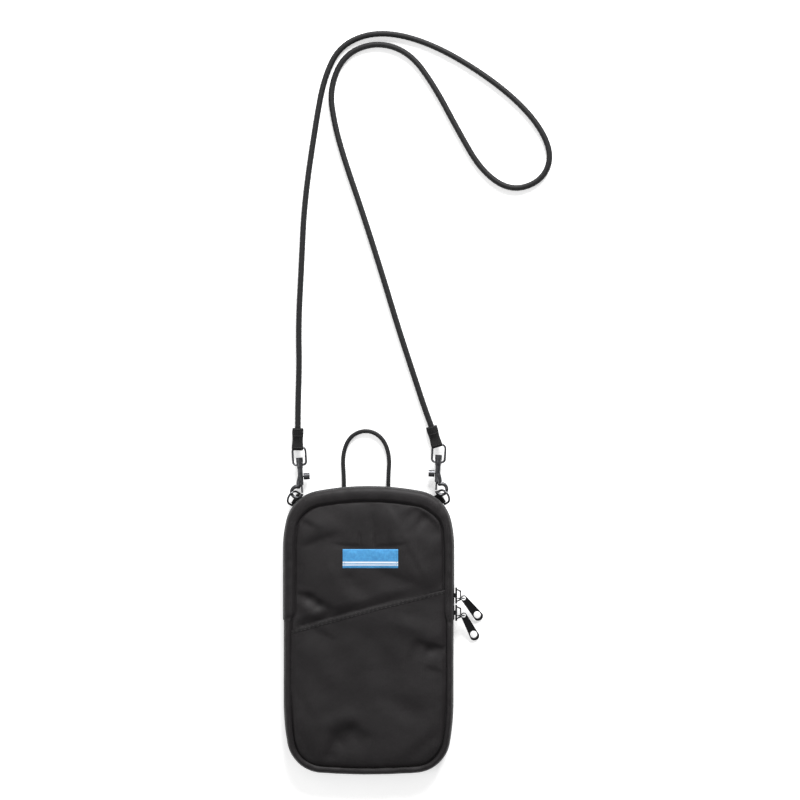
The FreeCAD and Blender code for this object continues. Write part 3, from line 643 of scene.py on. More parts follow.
def panel_row(ring):
    """One ring of the front panel, closing in from the seam: it dips where the pocket covers it."""
    share = ring / PANEL_RINGS
    share = share * (0.55 + 0.45 * share)
    row = []
    for point, normal in STATIONS:
        start = point - normal * (seam_inset(point) + 1.15)
        place = start.lerp(spine_point(start), share)
        edge = (place - start).length
        z = front_height(place.x, place.y, edge)
        below_pocket = smooth_step(slant_y(place.x) - place.y, -0.5, 2.0)
        lower = min(z, pocket_height(place.x, place.y, edge)) - 1.2
        row.append((place.x, place.y, z + (lower - z) * below_pocket))
    return row


def front_skin():
    """The front gusset rolling over into the front panel, one piece of cloth with a seam groove."""
    rows = [gusset_row(index) for index in range(GUSSET_ROWS + 1)]
    rows += [groove_row(more, drop) for more, drop in SEAM_GROOVE]
    rows += [panel_row(ring) for ring in range(PANEL_RINGS + 1)]
    return closed_skin("front_cloth", rows, 0.7)


def closed_skin(name, rows, thickness):
    """One cloth made of rows that each go all the way round the pouch."""
    points = [point for row in rows for point in row]
    skin = mesh_object(name, points, grid_faces(len(rows), len(STATIONS), True), NYLON)
    merge(skin, 0.02)
    return thicken(face_up(skin), thickness)


def end_seam(point):
    """The dip of the seams across the gusset where the zip's half of it meets the plain half."""
    middle = ZIP_START + (1.6 if point.x < 0 else -1.2)
    return 0.9 * math.exp(-((point.y - middle) / 0.8) ** 2) * (abs(point.x) > HALF_WIDTH * 0.8)


def slant_y(x):
    """The slanted mouth of the front pocket: one shallow arc through its left end, middle and right end."""
    return SLANT_MID.y + math.sqrt(SLANT_RADIUS ** 2 - (x - SLANT_MID.x) ** 2)


def circle_through(a, b, c):
    """The middle and radius of the circle through three points."""
    d = 2 * (a.x * (b.y - c.y) + b.x * (c.y - a.y) + c.x * (a.y - b.y))
    x = (a.length_squared * (b.y - c.y) + b.length_squared * (c.y - a.y) + c.length_squared * (a.y - b.y)) / d
    y = (a.length_squared * (c.x - b.x) + b.length_squared * (a.x - c.x) + c.length_squared * (b.x - a.x)) / d
    return Vector((x, y)), (Vector((x, y)) - a).length


SLANT_MID, SLANT_RADIUS = circle_through(Vector((-60, -2.4)), Vector((4, 15.6)), Vector((60, 29.2)))


def back_gusset_row(degrees):
    """One row of the back gusset, from the zip or the gusset's middle line under to the back seam."""
    turn = math.radians(degrees)
    row = []
    for point, normal in STATIONS:
        zipped = zip_share(point)
        edge_z = CHAIN_MID + (BACK_EDGE + 0.3 - CHAIN_MID) * zipped
        place = point - normal * (3.6 * (1 - math.cos(turn)) + ZIP_INSET * zipped * (degrees == 0))
        row.append((place.x, place.y, edge_z + (0.35 - edge_z) * math.sin(turn)))
    return row


def back_panel_row(ring):
    """One ring of the flat back, with a groove at its seam and a slight hollow inside."""
    share = ring / BACK_RINGS
    row = []
    for point, normal in STATIONS:
        start = point - normal * (4.2 if ring else 3.9)
        place = start.lerp(spine_point(start), share)
        groove = 0.5 if ring == 0 else 0.0
        hollow = 0.25 * (1 - math.exp(-share * 6)) * (0.5 + 0.5 * drift(place.x, place.y, 30, 9.1))
        row.append((place.x, place.y, 0.02 + groove + hollow))
    return row


def back_skin():
    """The back gusset turning under into the flat back panel."""
    rows = [back_gusset_row(degrees) for degrees in range(0, 91, 10)]
    rows += [back_panel_row(ring) for ring in range(BACK_RINGS + 1)]
    return closed_skin("back_cloth", rows, 0.6)


def seam_binding(name, inset, z):
    """Tape folded over a seam's raw edges, inside the pouch."""
    section = [(-0.1, 0.0), (0.0, 0.55), (0.9, 0.75), (1.9, 0.6), (2.0, 0.1), (1.0, -0.1)]
    points = []
    for point, normal in STATIONS:
        for more, up in section:
            place = point - normal * (inset(point) + more)
            points.append((place.x, place.y, z(point) + up + 0.1 * drift(place.x, place.y, 4, 8.8)))
    count = len(STATIONS)
    faces = []
    for i in range(count):
        for j in range(len(section)):
            a = i * len(section) + j
            b = i * len(section) + (j + 1) % len(section)
            c = (i + 1) % count * len(section)
            faces.append((a, b, c + (j + 1) % len(section), c + j))
    return face_up(mesh_object(name, points, faces, TAPE))


def bindings():
    front = seam_binding("front_seam_tape", lambda p: seam_inset(p) + 0.8,
                         lambda p: FRONT - 6.0 - end_fall(p))
    place_over_fold(front, "binding", "front_binding", "flap_binding")
    back = seam_binding("back_seam_tape", lambda p: 4.6, lambda p: 1.1)
    place_piece(back, "binding", "back_binding")


def base_seam():
    """Points along the seam at the bottom of the front, from left to right."""
    places = [point - normal * (seam_inset(point) + 0.2) for point, normal in STATIONS]
    return sorted((place.x, place.y) for place in places if place.y < -20)


BASE_SEAM = base_seam()


def base_seam_y(x):
    """How far down the bottom seam is at this x, past the steep runs at its two ends."""
    for (ax, ay), (bx, by) in zip(BASE_SEAM, BASE_SEAM[1:]):
        if ax <= x <= bx and bx > ax:
            if abs(by - ay) > 8:
                continue
            return ay + (by - ay) * (x - ax) / (bx - ax)
    return -66.0


POCKET_HALF_WIDTH = HALF_WIDTH - 5.1


def pocket_skin():
    """The pocket panel lying on the lower front, sewn in all round except at its slanted mouth."""
    columns = 96
    rows = 110
    widest = math.pi / 2 * 0.985
    points = []
    for i in range(rows):
        share = i / (rows - 1)
        for j in range(columns):
            across = -1 + 2 * j / (columns - 1)
            x = POCKET_HALF_WIDTH * math.sin(across * widest) / math.sin(widest)
            top = slant_y(x)
            y = top + (base_seam_y(x) - top) * share
            points.append((x, y, pocket_surface(x, y)))
    skin = mesh_object("pocket_cloth", points, grid_faces(rows, columns), NYLON)
    return thicken(face_up(skin), 0.45)


def pocket_surface(x, y):
    """Height of the pocket's cloth, which lifts off the front inside its seams."""
    edge = min(POCKET_HALF_WIDTH - abs(x), y - base_seam_y(x))
    return pocket_height(x, y, edge) + 0.45 * smooth_step(edge, 0, 3.0)


def pocket_hem():
    """The turned and stitched tape along the pocket's mouth."""
    profile = [(0.1, -0.5), (0.15, -0.1), (0.0, 0.1), (-0.5, 0.16), (-1.4, 0.15), (-2.0, 0.12), (-2.4, 0.04),
               (-2.45, -0.3)]
    half = POCKET_HALF_WIDTH - 0.3
    count = 150
    points = []
    for i in range(count):
        x = -half + 2 * half * i / (count - 1)
        slope = slant_y(x + 0.5) - slant_y(x - 0.5)
        normal = Vector((-slope, 1)).normalized()
        wave = 0.08 * drift(x, 0, 4, 5.5)
        for out, up in profile:
            px = x + normal.x * out
            py = slant_y(x) + normal.y * out
            pz = pocket_surface(px, min(py, slant_y(px))) + up + wave
            points.append((px, py, pz))
    return face_up(mesh_object("pocket_hem_tape", points, grid_faces(count, len(profile)), HEM))


# ------------------------------------------------------------------ lining

RIGHT_SIDE = sorted((p.y, p.x) for p, n in STATIONS if p.x > 0)


def half_width_at(y):
    """Half the pouch's width at this height up the pouch."""
    for (ay, ax), (by, bx) in zip(RIGHT_SIDE, RIGHT_SIDE[1:]):
        if ay <= y <= by and by > ay:
            return ax + (bx - ax) * (y - ay) / (by - ay)
    return 0.0


def lining_sheet(node, inset, seed):
    """One thin pocket lining: flat, a little rippled, its top edge turned over and stitched."""
    low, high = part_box(node)
    y_low = max(low.y / MM, inset - HALF_HEIGHT)
    y_high = min(high.y / MM, HALF_HEIGHT - inset)
    middle = (low.z + high.z) / 2 / MM
    rows = 90
    columns = 60
    centre = (y_low + y_high) / 2
    reach = (y_high - y_low) / 2
    points = []
    for i in range(rows):
        y = centre - reach * math.cos(math.pi * i / (rows - 1))
        spread = (y + math.copysign(inset, y)) if abs(y) > HALF_HEIGHT - 26 else y
        left = half_width_at(spread) - inset
        slider_room = 2.0 * smooth_step(y, -4, 3) * (1 - smooth_step(y, FOLD, FOLD + 8))
        right = left - slider_room
        hem = 0.3 * smooth_step(y, y_high - 5.0, y_high - 4.4) * (y_high < HALF_HEIGHT - 20)
        for j in range(columns):
            x = -left + (left + right) * j / (columns - 1)
            rim = min(x + left, right - x)
            ripple = 0.16 * drift(x, y, 17, seed) * smooth_step(rim, 0, 6)
            points.append((x, y, middle + ripple + hem))
    flat = mesh_object(node + "_cloth", points, grid_faces(rows, columns), LINING)
    place_piece(thicken(face_up(flat), 0.35, 0.0), "lining", node)


def linings():
    lining_sheet("divider", 1.6, 3.1)
    lining_sheet("card_slot_high", 5.4, 5.2)
    lining_sheet("card_slot_low", 5.4, 7.3)


# ------------------------------------------------------------------ stitches


# How far along a stitch each of its rings is, and how thick it is there, as shares of its length and radius.
STITCH_RINGS = ((-0.5, 0.25), (-0.42, 0.75), (-0.2, 1.0), (0.2, 1.0), (0.42, 0.75), (0.5, 0.25))


def stitch_row(name, places, length, radius, material=THREAD):
    """Short thread stitches, each a capsule half sunk in the cloth: places are (point, direction)."""
    points = []
    faces = []
    sides = 6
    for place, way in places:
        up = Vector((0, 0, 1))
        if abs(way.dot(up)) > 0.9:
            up = Vector((1, 0, 0))
        side = way.cross(up).normalized()
        top = side.cross(way).normalized()
        first = len(points)
        for along, swell in STITCH_RINGS:
            for k in range(sides):
                turn = 2 * math.pi * k / sides
                offset = side * math.cos(turn) + top * math.sin(turn)
                point = place + way * (along * length) + offset * (radius * swell)
                points.append(tuple(point))
        faces += shifted(grid_faces(len(STITCH_RINGS), sides, True), first)
    stitches = mesh_object(name, points, faces, material)
    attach(stitches, "pouch")


def stitches_on(name, route, height, spacing, length, material=THREAD):
    """Stitches along a flat route, resting on the height function."""
    reach = 0.6
    places = []
    spare = 0.0
    for (ax, ay), (bx, by) in zip(route, route[1:]):
        run = Vector((bx - ax, by - ay))
        flat = run.normalized()
        along = spare
        while along < run.length:
            x = ax + run.x * along / run.length
            y = ay + run.y * along / run.length
            ahead = height(x + flat.x * reach, y + flat.y * reach)
            behind = height(x - flat.x * reach, y - flat.y * reach)
            way = Vector((flat.x, flat.y, (ahead - behind) / (2 * reach))).normalized()
            places.append((Vector((x, y, height(x, y))), way))
            along += spacing
        spare = along - run.length
    stitch_row(name, places, length, 0.13, material)


# ------------------------------------------------------------------ zip


def zip_tape(name, section):
    """One tape of the zip, its section given as inset and height pairs."""
    chosen = [(p, n) for p, n in rotated_stations() if p.y >= ZIP_START - 1]
    points = []
    for point, normal in chosen:
        for inset, z in section:
            place = point - normal * inset
            points.append((place.x, place.y, z))
    return thicken(mesh_object(name, points, grid_faces(len(chosen), len(section)), TAPE), 0.35, 0.0)


def rotated_stations():
    """The stations starting at the middle of the base, so that the upper half is one run."""
    half = len(STATIONS) // 2
    return STATIONS[half:] + STATIONS[:half]


def zip_tapes():
    back_section = [(0.35, BACK_EDGE - 0.2), (0.5, BACK_EDGE + 0.6), (0.75, CHAIN_MID - 0.2)]
    front_section = [(0.75, CHAIN_MID + 0.2), (0.5, FRONT_EDGE - 0.6), (0.35, FRONT_EDGE + 0.2)]
    return zip_tape("back_zip_tape", back_section), zip_tape("front_zip_tape", front_section)


COIL_PITCH = 1.25


def coil_teeth(name, way, phase):
    """One side of the zip's coil: a loop of nylon every pitch, leaning over the middle line."""
    stations = [(p, n) for p, n in rotated_stations() if p.y >= ZIP_START + 0.4]
    points = []
    faces = []
    lengths = lengths_along([p for p, _ in stations])
    section = [(1.0, 0.0), (0.5, 0.87), (-0.5, 0.87), (-1.0, 0.0), (-0.5, -0.87), (0.5, -0.87)]
    profile = [
        (0.55, 1.75), (0.05, 1.55), (-0.28, 0.9), (-0.32, 0.1), (-0.1, -0.35), (0.35, -0.45), (0.6, 0.1),
    ]
    target = phase * COIL_PITCH
    k = 0
    while target < lengths[-1] - 0.01:
        while lengths[k + 1] < target:
            k += 1
        share = (target - lengths[k]) / (lengths[k + 1] - lengths[k])
        (pa, na), (pb, nb) = stations[k], stations[k + 1]
        place = pa.lerp(pb, share)
        normal = na.lerp(nb, share).normalized()
        tangent = Vector((-normal.y, normal.x))
        first = len(points)
        for step, (inset, rise) in enumerate(profile):
            lean = 0.18 * (step / (len(profile) - 1) - 0.5)
            for u, v in section:
                out = -inset + 0.24 * v
                px = place.x + normal.x * out + tangent.x * (0.36 * u + lean)
                py = place.y + normal.y * out + tangent.y * (0.36 * u + lean)
                points.append((px, py, CHAIN_MID + way * rise))
        faces += shifted(grid_faces(len(profile), len(section), True), first)
        target += COIL_PITCH
    return mesh_object(name, points, faces, COIL)


# ------------------------------------------------------------------ label


# How far in from the label's edge it is sewn down.
LABEL_SEAM = 1.1


def label_patch():
    """The woven label, pulled down a little along its seam: also says where its four edges are."""
    low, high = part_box("label")
    x0, x1, y0, y1 = low.x / MM, high.x / MM, low.y / MM, high.y / MM
    columns, rows = 60, 24
    points = []
    for i in range(rows):
        for j in range(columns):
            x = x0 + (x1 - x0) * j / (columns - 1)
            y = y0 + (y1 - y0) * i / (rows - 1)
            edge = min(x - x0, x1 - x, y - y0, y1 - y)
            z = front_height(x, y, MID_PANEL) + 0.15 + 0.3 * smooth_step(edge, -0.1, 0.8)
            z -= 0.18 * math.exp(-((edge - LABEL_SEAM) / 0.45) ** 2)
            points.append((x, y, z))
    patch = mesh_object("label_patch", points, grid_faces(rows, columns), label_cloth(low, high))
    return thicken(face_up(patch), 0.5), (x0, x1, y0, y1)


# ------------------------------------------------------------------ cords

# The strap leaves the left sleeve, crosses over itself at the top and comes back to the right sleeve.
STRAP_ROUTE = [
    (-46.9, 133.4), (-46.9, 148), (-46.0, 174), (-46.5, 204), (-44.6, 240), (-42.6, 284),
    (-35.0, 336), (-29.5, 366), (-18.5, 388), (7.5, 397), (42, 388.5), (82, 364.5),
    (110, 339), (122, 315), (114.5, 297), (94, 290.5), (74.5, 304), (59, 331),
    (43, 361), (27, 382.5), (5, 389.5), (-16.5, 381), (-26, 358), (-22.5, 334),
    (-16, 311), (-5, 279), (7.5, 240), (19.5, 200), (31, 165), (37.4, 145.5), (41.5, 134.6),
]
LOOP_ROUTE = [
    (-16.3, 91), (-16.4, 101), (-17.4, 115.5), (-13.5, 126.8), (-5.5, 131.9), (3.5, 131.2),
    (10.6, 125.0), (13.9, 114), (12.9, 101), (13.0, 91),
]


def spline_points(name, route, z, resolution):
    """The points of a smooth spline through the route, in millimetres."""
    curve = bpy.data.curves.new(name, "CURVE")
    curve.dimensions = "3D"
    curve.resolution_u = resolution
    spline = curve.splines.new("NURBS")
    spline.points.add(len(route) - 1)
    for point, (x, y) in zip(spline.points, route):
        point.co = (x * MM, y * MM, z * MM, 1)
    spline.order_u = 3
    spline.use_endpoint_u = True
    holder = bpy.data.objects.new(name, curve)
    bpy.context.scene.collection.objects.link(holder)
    graph = bpy.context.evaluated_depsgraph_get()
    mesh = bpy.data.meshes.new_from_object(holder.evaluated_get(graph))
    path = [Vector(v.co) / MM for v in mesh.vertices]
    bpy.data.objects.remove(holder)
    return path


def even_path(path, spacing):
    """The same path with its points evenly spaced, and its length."""
    lengths = lengths_along(path)
    count = max(2, round(lengths[-1] / spacing))
    even = []
    k = 0
    for i in range(count + 1):
        target = lengths[-1] * i / count
        while k < len(lengths) - 2 and lengths[k + 1] < target:
            k += 1
        share = (target - lengths[k]) / max(lengths[k + 1] - lengths[k], TINY)
        even.append(path[k].lerp(path[k + 1], min(1, max(0, share))))
    return even, lengths[-1]


def braided_tube(name, path, radius, strands, lay, sides, relief):
    """A tube with raised strands winding both ways, and UVs along and round it."""
    points = []
    count = len(path)
    distances = lengths_along(path)
    for i, centre in enumerate(path):
        ahead = path[min(i + 1, count - 1)] - path[max(i - 1, 0)]
        tangent = ahead.normalized()
        side = Vector((0, 0, 1)).cross(tangent).normalized()
        up = tangent.cross(side)
        for s in range(sides):
            around = s / sides
            u = distances[i] / lay
            one_way = math.cos(math.pi * strands * (around + u))
            other_way = math.cos(math.pi * strands * (around - u))
            over = 0.5 + 0.5 * math.cos(math.pi * strands * around) * math.cos(math.pi * strands * u)
            height = over * one_way + (1 - over) * other_way
            reach = radius + relief * (height - 1) * 0.5
            turn = 2 * math.pi * around
            offset = side * math.cos(turn) + up * math.sin(turn)
            points.append(tuple(centre + offset * reach))
    faces = grid_faces(count, sides, True)
    first_cap = len(points)
    points.append(tuple(path[0]))
    points.append(tuple(path[-1]))
    for s in range(sides):
        faces.append((first_cap, (s + 1) % sides, s))
        last = (count - 1) * sides
        faces.append((first_cap + 1, last + s, last + (s + 1) % sides))
    tube = mesh_object(name, points, faces, CORD)
    lay_out_tube(tube.data, distances, sides, 2 * math.pi * radius)
    return tube


def lay_out_tube(mesh, distances, sides, girth):
    """UVs in metres along a tube and round it."""
    layer = mesh.uv_layers.new(name="UVMap")
    for polygon in mesh.polygons:
        corners = [mesh.loops[i].vertex_index for i in polygon.loop_indices]
        closes = max(c % sides for c in corners) == sides - 1
        for loop, corner in zip(polygon.loop_indices, corners):
            column = corner % sides
            if closes and column == 0:
                column = sides
            row = min(corner // sides, len(distances) - 1)
            layer.data[loop].uv = (distances[row] * MM, column / sides * girth * MM)


STRAP_RADIUS = 2.05
LOOP_RADIUS = 1.5


def strap_cord():
    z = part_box("strap_cord")[0].z / MM + STRAP_RADIUS
    path, length = even_path(spline_points("strap_line", STRAP_ROUTE, z, 24), 0.55)
    tube = braided_tube("strap_braid", path, STRAP_RADIUS, 16, 10.5, 40, 0.3)
    place_piece(tube, "cord", "strap_cord")


def grab_loop():
    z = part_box("grab_loop")[0].z / MM + LOOP_RADIUS
    path, _ = even_path(spline_points("loop_line", LOOP_ROUTE, z, 16), 0.4)
    tube = braided_tube("grab_loop_braid", path, LOOP_RADIUS, 12, 7.0, 32, 0.24)
    place_piece(tube, "cord", "grab_loop")


# ------------------------------------------------------------------ sleeves and ring tabs


# Half a sleeve's width, how far the cord inside makes it bulge and how widely, and its rise to the bail.
SLEEVE_HALF_WIDTH = 3.65
CORD_BULGE = 2.45
BULGE_SPREAD = 2.1
BULGE_SHARE = 0.55
BAIL_RISE = 0.9
# Each cross row of a sleeve's stitches is this far below its top.
CROSS_ROWS = (0.9, 5.2, 12.9)


def cord_bulge(t):
    """The bulge over the cord, which fades out along the sleeve."""
    return CORD_BULGE * (1 - smooth_step(t, 0.1, 0.75))


def rise_to_bail(t):
    return BAIL_RISE * smooth_step(t, 0.5, 0.95)


def rounded(value, power):
    """A cosine or sine squared off, which turns a circle into a rounded box."""
    return math.copysign(abs(value) ** power, value)


def strap_sleeve(name, top, bottom, z_mid):
    """A flat stitched end: the cord goes in at the top and the sleeve narrows to a fold round the bail."""
    along = (bottom - top).normalized()
    side = Vector((-along.y, along.x, 0))
    length = (bottom - top).length
    rows = 30
    sides = 32
    points = []
    for i in range(rows):
        t = i / (rows - 1)
        half_wide = SLEEVE_HALF_WIDTH + 0.15 * math.sin(t * 9)
        round_end = math.sqrt(max(0.0, 1 - max(0.0, (t - 0.86) / 0.14) ** 2))
        round_top = math.sqrt(max(0.0, 1 - max(0.0, (0.06 - t) / 0.06) ** 2))
        pinch = min(1.0, 0.35 + 0.65 * round_end) * (0.8 + 0.2 * round_top)
        half_deep = (1.6 + cord_bulge(t) * 0.25) * pinch
        for s in range(sides):
            turn = 2 * math.pi * s / sides
            wide = rounded(math.cos(turn), 0.45) * half_wide * (0.95 + 0.05 * pinch)
            bulge = cord_bulge(t) * math.exp(-(wide / BULGE_SPREAD) ** 2) * BULGE_SHARE
            deep = rounded(math.sin(turn), 0.6) * (half_deep + bulge)
            point = top + along * (length * t) + side * wide
            points.append((point.x, point.y, max(z_mid + rise_to_bail(t) + deep, 0.25)))
    faces = grid_faces(rows, sides, True)
    faces.append(tuple(range(sides))[::-1])
    faces.append(tuple(range((rows - 1) * sides, rows * sides)))
    sleeve = mesh_object(name, points, faces, WEBBING)
    sleeve_stitches(name + "_stitches", top, along, side, length, z_mid + 1.62)
    return face_up(sleeve)


def sleeve_stitches(name, top, along, side, length, z):
    """A row of stitches down each edge of a sleeve, and short rows across it."""
    lifted = Vector((0, 0, z))
    places = []
    for off in (-2.9, 2.9):
        for k in range(7):
            places.append((top + along * (1.6 + k * 1.75) + side * off + lifted, along))
    for down in CROSS_ROWS:
        for k in range(-2, 3):
            off = k * 1.15
            t = down / length
            bulge = cord_bulge(t) * (0.25 + math.exp(-(off / BULGE_SPREAD) ** 2) * BULGE_SHARE)
            rise = Vector((0, 0, bulge + rise_to_bail(t)))
            places.append((top + along * down + side * off + lifted + rise, side))
    stitch_row(name, places, 1.1, 0.16)


def sleeves():
    low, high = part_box("left_sleeve")
    z = (low.z + high.z) / 2 / MM - 0.35
    # Where each sleeve begins on the cord, and where it ends round its bail.
    ends = {
        "left_sleeve": (Vector((-46.9, 133.6, 0)), Vector((-47.2, 118.8, 0))),
        "right_sleeve": (Vector((41.4, 134.8, 0)), Vector((45.4, 120.8, 0))),
    }
    for node, (top, bottom) in ends.items():
        place_piece(strap_sleeve(node + "_webbing", top, bottom, z), "webbing", node)


def joint_of(name):
    return [j for j in frame["joints"] if j["name"] == name][0]


# A ring tab's section, from the seam out: its lower layer, the fold round the bar and its upper layer.
TAB_LOWER = [(-5.5, -0.95), (-3.0, -1.05), (-1.2, -1.12)]
TAB_UPPER = [(-1.2, 1.12), (-3.0, 1.0), (-5.5, 0.8)]
TAB_FOLD = 1.15
TAB_HALF_WIDTH = 3.65


def ring_tab(way, side):
    """Webbing folded round a D-ring's bar, both ends going into the side seam."""
    joint = joint_of(side + "_ring_swing")
    bar = Vector(joint["pos_m"]) / MM
    along = Vector(joint["axis"]).normalized()
    outward = Vector((along.y, -along.x, 0))
    if outward.x * way < 0:
        outward = -outward
    up = Vector((0, 0, 1))
    turns = [math.radians(-90 + 180 * k / 14) for k in range(15)]
    fold = [(TAB_FOLD * math.cos(turn), TAB_FOLD * math.sin(turn)) for turn in turns]
    section = TAB_LOWER + fold + TAB_UPPER
    columns = 14
    points = []
    for out, high in section:
        for c in range(columns):
            w = -TAB_HALF_WIDTH + 2 * TAB_HALF_WIDTH * c / (columns - 1)
            wave = 0.05 * math.sin(w * 5)
            points.append(tuple(bar + along * w + outward * (out + wave) + up * high))
    tab = mesh_object(side + "_ring_webbing", points, grid_faces(len(section), columns), WEBBING)
    place_piece(thicken(face_up(tab), 0.6, 0.0), "webbing", side + "_ring_tab")
    row = bar - outward * 2.0 + up * 1.42
    places = [(row + along * w, along) for w in (-2.4, -1.2, 0.0, 1.2, 2.4)]
    stitch_row(side + "_ring_webbing_stitches", places, 0.9, 0.15)


# ------------------------------------------------------------------ hook castings

# Each hook is measured across and along its shaft from its swivel. The claw is an arc round CLAW_MID.
CLAW_MID = (2.95, -18.07)
CLAW_RADIUS = 3.55
CLAW_WIRE = 0.95
# The neck's knots, across, along and radius, from the shaft to the start of the claw.
NECK_KNOTS = [
    (0.25, -6.5, 1.35), (0.35, -8.6, 1.78), (0.75, -10.6, 2.0), (1.25, -12.4, 1.85), (1.5, -13.6, 1.55),
]
# Where on the claw's arc the neck has knots, in degrees.
CLAW_KNOTS = (108, 80, 50, 20, -10, -40, -62)


def swept(name, path, sides, material):
    """A round casting swept along a path of (point, radius) pairs, closed at both ends."""
    points = []
    for i, (centre, radius) in enumerate(path):
        ahead = path[min(i + 1, len(path) - 1)][0] - path[max(i - 1, 0)][0]
        tangent = ahead.normalized()
        side = Vector((0, 0, 1)).cross(tangent).normalized()
        up = tangent.cross(side)
        for k in range(sides):
            turn = 2 * math.pi * k / sides
            points.append(tuple(centre + (side * math.cos(turn) + up * math.sin(turn)) * radius))
    faces = grid_faces(len(path), sides, True)
    faces.append(tuple(range(sides))[::-1])
    faces.append(tuple(range(len(points) - sides, len(points))))
    return face_up(mesh_object(name, points, faces, material))


def blend_four(p, q, r, w, t):
    """A smooth step of share t from q to r, which heads the way that p and w do."""
    linear = (r - p) * t
    square = (2 * p - 5 * q + 4 * r - w) * t ** 2
    cube = (3 * q - p - 3 * r + w) * t ** 3
    return 0.5 * (2 * q + linear + square + cube)


def smooth_path(knots, count):
    """A Catmull-Rom curve through (x, y, radius) knots."""
    ends = [knots[0]] + knots + [knots[-1]]
    path = []
    for a, b, c, d in zip(ends, ends[1:], ends[2:], ends[3:]):
        for i in range(count):
            t = i / count
            path.append(tuple(blend_four(p, q, r, w, t) for p, q, r, w in zip(a, b, c, d)))
    path.append(knots[-1])
    return path


def hook_neck(way, side):
    """The casting's neck, which swells out of the shaft and thins round the claw."""
    joint = joint_of(side + "_hook_swivel")
    origin = Vector(joint["pos_m"]) / MM
    shaft = Vector(joint["axis"]).normalized()
    across = shaft.cross(Vector((0, 0, 1))).normalized() * way
    knots = list(NECK_KNOTS)
    for degrees in CLAW_KNOTS:
        left = 1 - (CLAW_KNOTS[0] - degrees) / (CLAW_KNOTS[0] - CLAW_KNOTS[-1])
        turn = math.radians(degrees)
        reach = CLAW_RADIUS + 0.3 * left
        x = CLAW_MID[0] + reach * math.cos(turn)
        y = CLAW_MID[1] + reach * math.sin(turn)
        knots.append((x, y, CLAW_WIRE + 0.42 * left))
    path = [(origin + across * x + shaft * y, radius) for x, y, radius in smooth_path(knots, 5)]
    neck = swept(side + "_hook_neck", path, 28, GUNMETAL)
    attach(neck, side + "_hook")


# ------------------------------------------------------------------ put it together


def dress(material, *nodes):
    """Gives CAD pieces that stay in view their material."""
    for name in nodes:
        obj = frame["nodes"][name]
        if obj.data.materials:
            for slot in obj.material_slots:
                slot.material = material
        else:
            obj.data.materials.append(material)


def soften(radius, *nodes):
    """Rounds the sharp edges of cast pieces."""
    for name in nodes:
        bevel = frame["nodes"][name].modifiers.new("soft_edges", "BEVEL")
        bevel.width = radius * MM
        bevel.segments = 3
        bevel.limit_method = "ANGLE"
        bevel.angle_limit = math.radians(40)


def dress_hardware():
    for side in ("left", "right"):
        dress(GUNMETAL, side + "_bail", side + "_hook", side + "_bolt", side + "_d_ring")
        dress(STEEL, side + "_bolt_spring")
        soften(0.9, side + "_bolt")
        soften(0.2, side + "_hook", side + "_bail")
    for row in ("lower", "upper"):
        dress(GUNMETAL, row + "_link")
        dress(PULL, row + "_pull_tab")
        dress(DARK_METAL, row + "_slider")
        soften(0.25, row + "_slider")
        soften(0.22, row + "_pull_tab")
    dress(DARK_METAL, "zip_stops")


# Each row of stitches along the pocket's hem, and how far below the mouth it runs.
HEM_ROWS = (("hem_stitches_upper", 0.75), ("hem_stitches_lower", 1.95))


def dress_pouch():
    place_over_fold(front_skin(), "pouch_cloth",
                    "front_panel", "flap_panel", "side_gusset", "flap_gusset", "bottom_gusset")
    place_piece(back_skin(), "pouch_cloth", "back_panel", "back_gusset")
    pocket = pocket_skin()
    place_piece(pocket, "pouch_cloth", "pocket_panel")
    place_piece(pocket_hem(), "pouch_cloth", "pocket_hem")
    half = HALF_WIDTH - 6
    for name, drop in HEM_ROWS:
        route = [(x, slant_y(x) - drop) for x in [-half + 2 * half * i / 60 for i in range(61)]]
        stitches_on(name, route, lambda x, y: pocket_surface(x, y) + 0.12, 2.9, 1.6)


def dress_zip():
    back_tape, front_tape = zip_tapes()
    place_piece(back_tape, "zip_tape", "back_tape")
    place_over_fold(front_tape, "zip_tape", "side_tape", "flap_tape")
    place_piece(coil_teeth("back_zip_coil", -1, 0.0), "zip_coil", "back_coil")
    place_over_fold(coil_teeth("front_zip_coil", 1, 0.5), "zip_coil", "side_coil", "flap_coil")


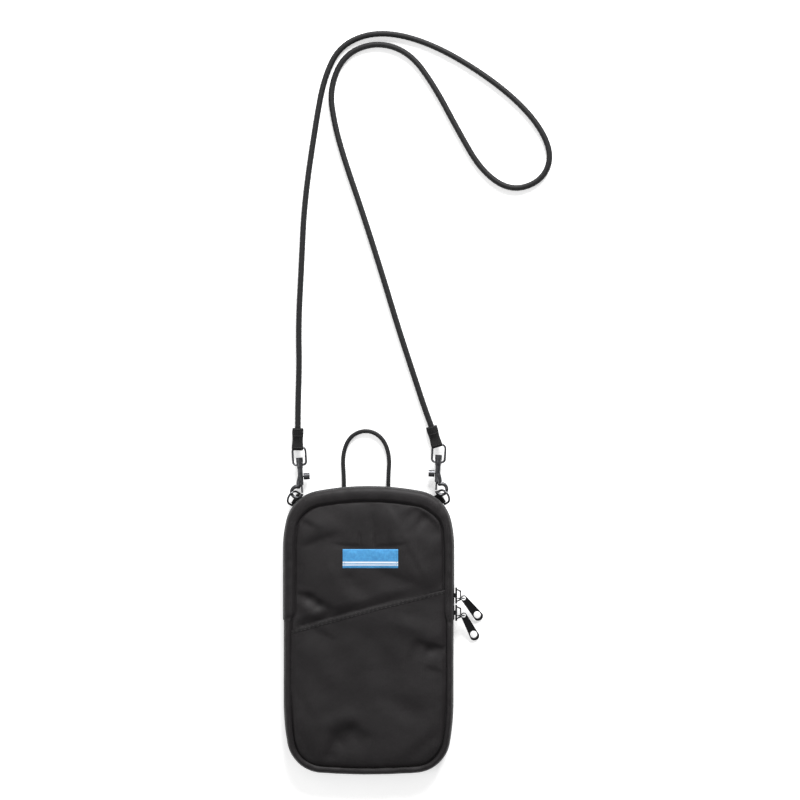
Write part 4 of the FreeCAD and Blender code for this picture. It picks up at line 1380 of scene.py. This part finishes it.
def dress_label():
    patch, (x0, x1, y0, y1) = label_patch()
    place_piece(patch, "label_cloth", "label")
    left, right = x0 + LABEL_SEAM, x1 - LABEL_SEAM
    low, high = y0 + LABEL_SEAM, y1 - LABEL_SEAM
    route = [(left, low), (right, low), (right, high), (left, high), (left, low)]
    stitches_on("label_stitches", route, lambda x, y: front_height(x, y, MID_PANEL) + 0.32, 1.7, 1.2,
                STITCH_BLUE)


strap_cord()
grab_loop()
dress_pouch()
dress_zip()
dress_label()
bindings()
linings()
sleeves()
ring_tab(-1, "left")
ring_tab(1, "right")
hook_neck(-1, "left")
hook_neck(1, "right")
dress_hardware()

# ------------------------------------------------------------------ floor and light


FLOOR_REACH = 6000
FLOOR_DROP = -0.02


def floor():
    ways = ((-1, -1), (1, -1), (1, 1), (-1, 1))
    corners = [(x * FLOOR_REACH, y * FLOOR_REACH, FLOOR_DROP) for x, y in ways]
    mesh_object("floor", corners, [(0, 1, 2, 3)], floor_material())


def floor_material():
    """White paper, lit a little from below so that the shadows on it stay faint."""
    kit = Nodes("floor_paper")
    grain = kit.noise(60, 2)
    colour = kit.ramp(grain, 0.3, 0.7, (0.86, 0.86, 0.86), (0.88, 0.88, 0.88))
    roughness = kit.math("ADD", kit.math("MULTIPLY", grain, 0.1), 0.85)
    kit.set(Emission_Color=(1, 1, 1, 1), Emission_Strength=0.4)
    return kit.finish_colour(colour, kit.bump(grain, 0.0002, 0.05), roughness)


def area_light(name, place, target, size, power):
    data = bpy.data.lights.new(name, "AREA")
    data.shape = "SQUARE"
    data.size = size
    data.energy = power
    light = bpy.data.objects.new(name, data)
    light.location = place
    way = Vector(target) - Vector(place)
    light.rotation_euler = way.to_track_quat("-Z", "Y").to_euler()
    bpy.context.scene.collection.objects.link(light)


def lights():
    """A low key light from beyond the pouch's top, a weak fill from the left, and white all round."""
    world = bpy.data.worlds.new("studio")
    world.use_nodes = True
    background = world.node_tree.nodes["Background"]
    background.inputs["Color"].default_value = (1, 1, 1, 1)
    background.inputs["Strength"].default_value = 0.46
    bpy.context.scene.world = world
    area_light("key", (0.35, 1.55, 0.8), (0.0, 0.05, 0), 0.8, 58)
    area_light("fill", (-1.2, -0.3, 1.3), (0, 0.05, 0), 0.9, 9)


floor()
lights()
bpy.context.scene.view_settings.view_transform = "Standard"
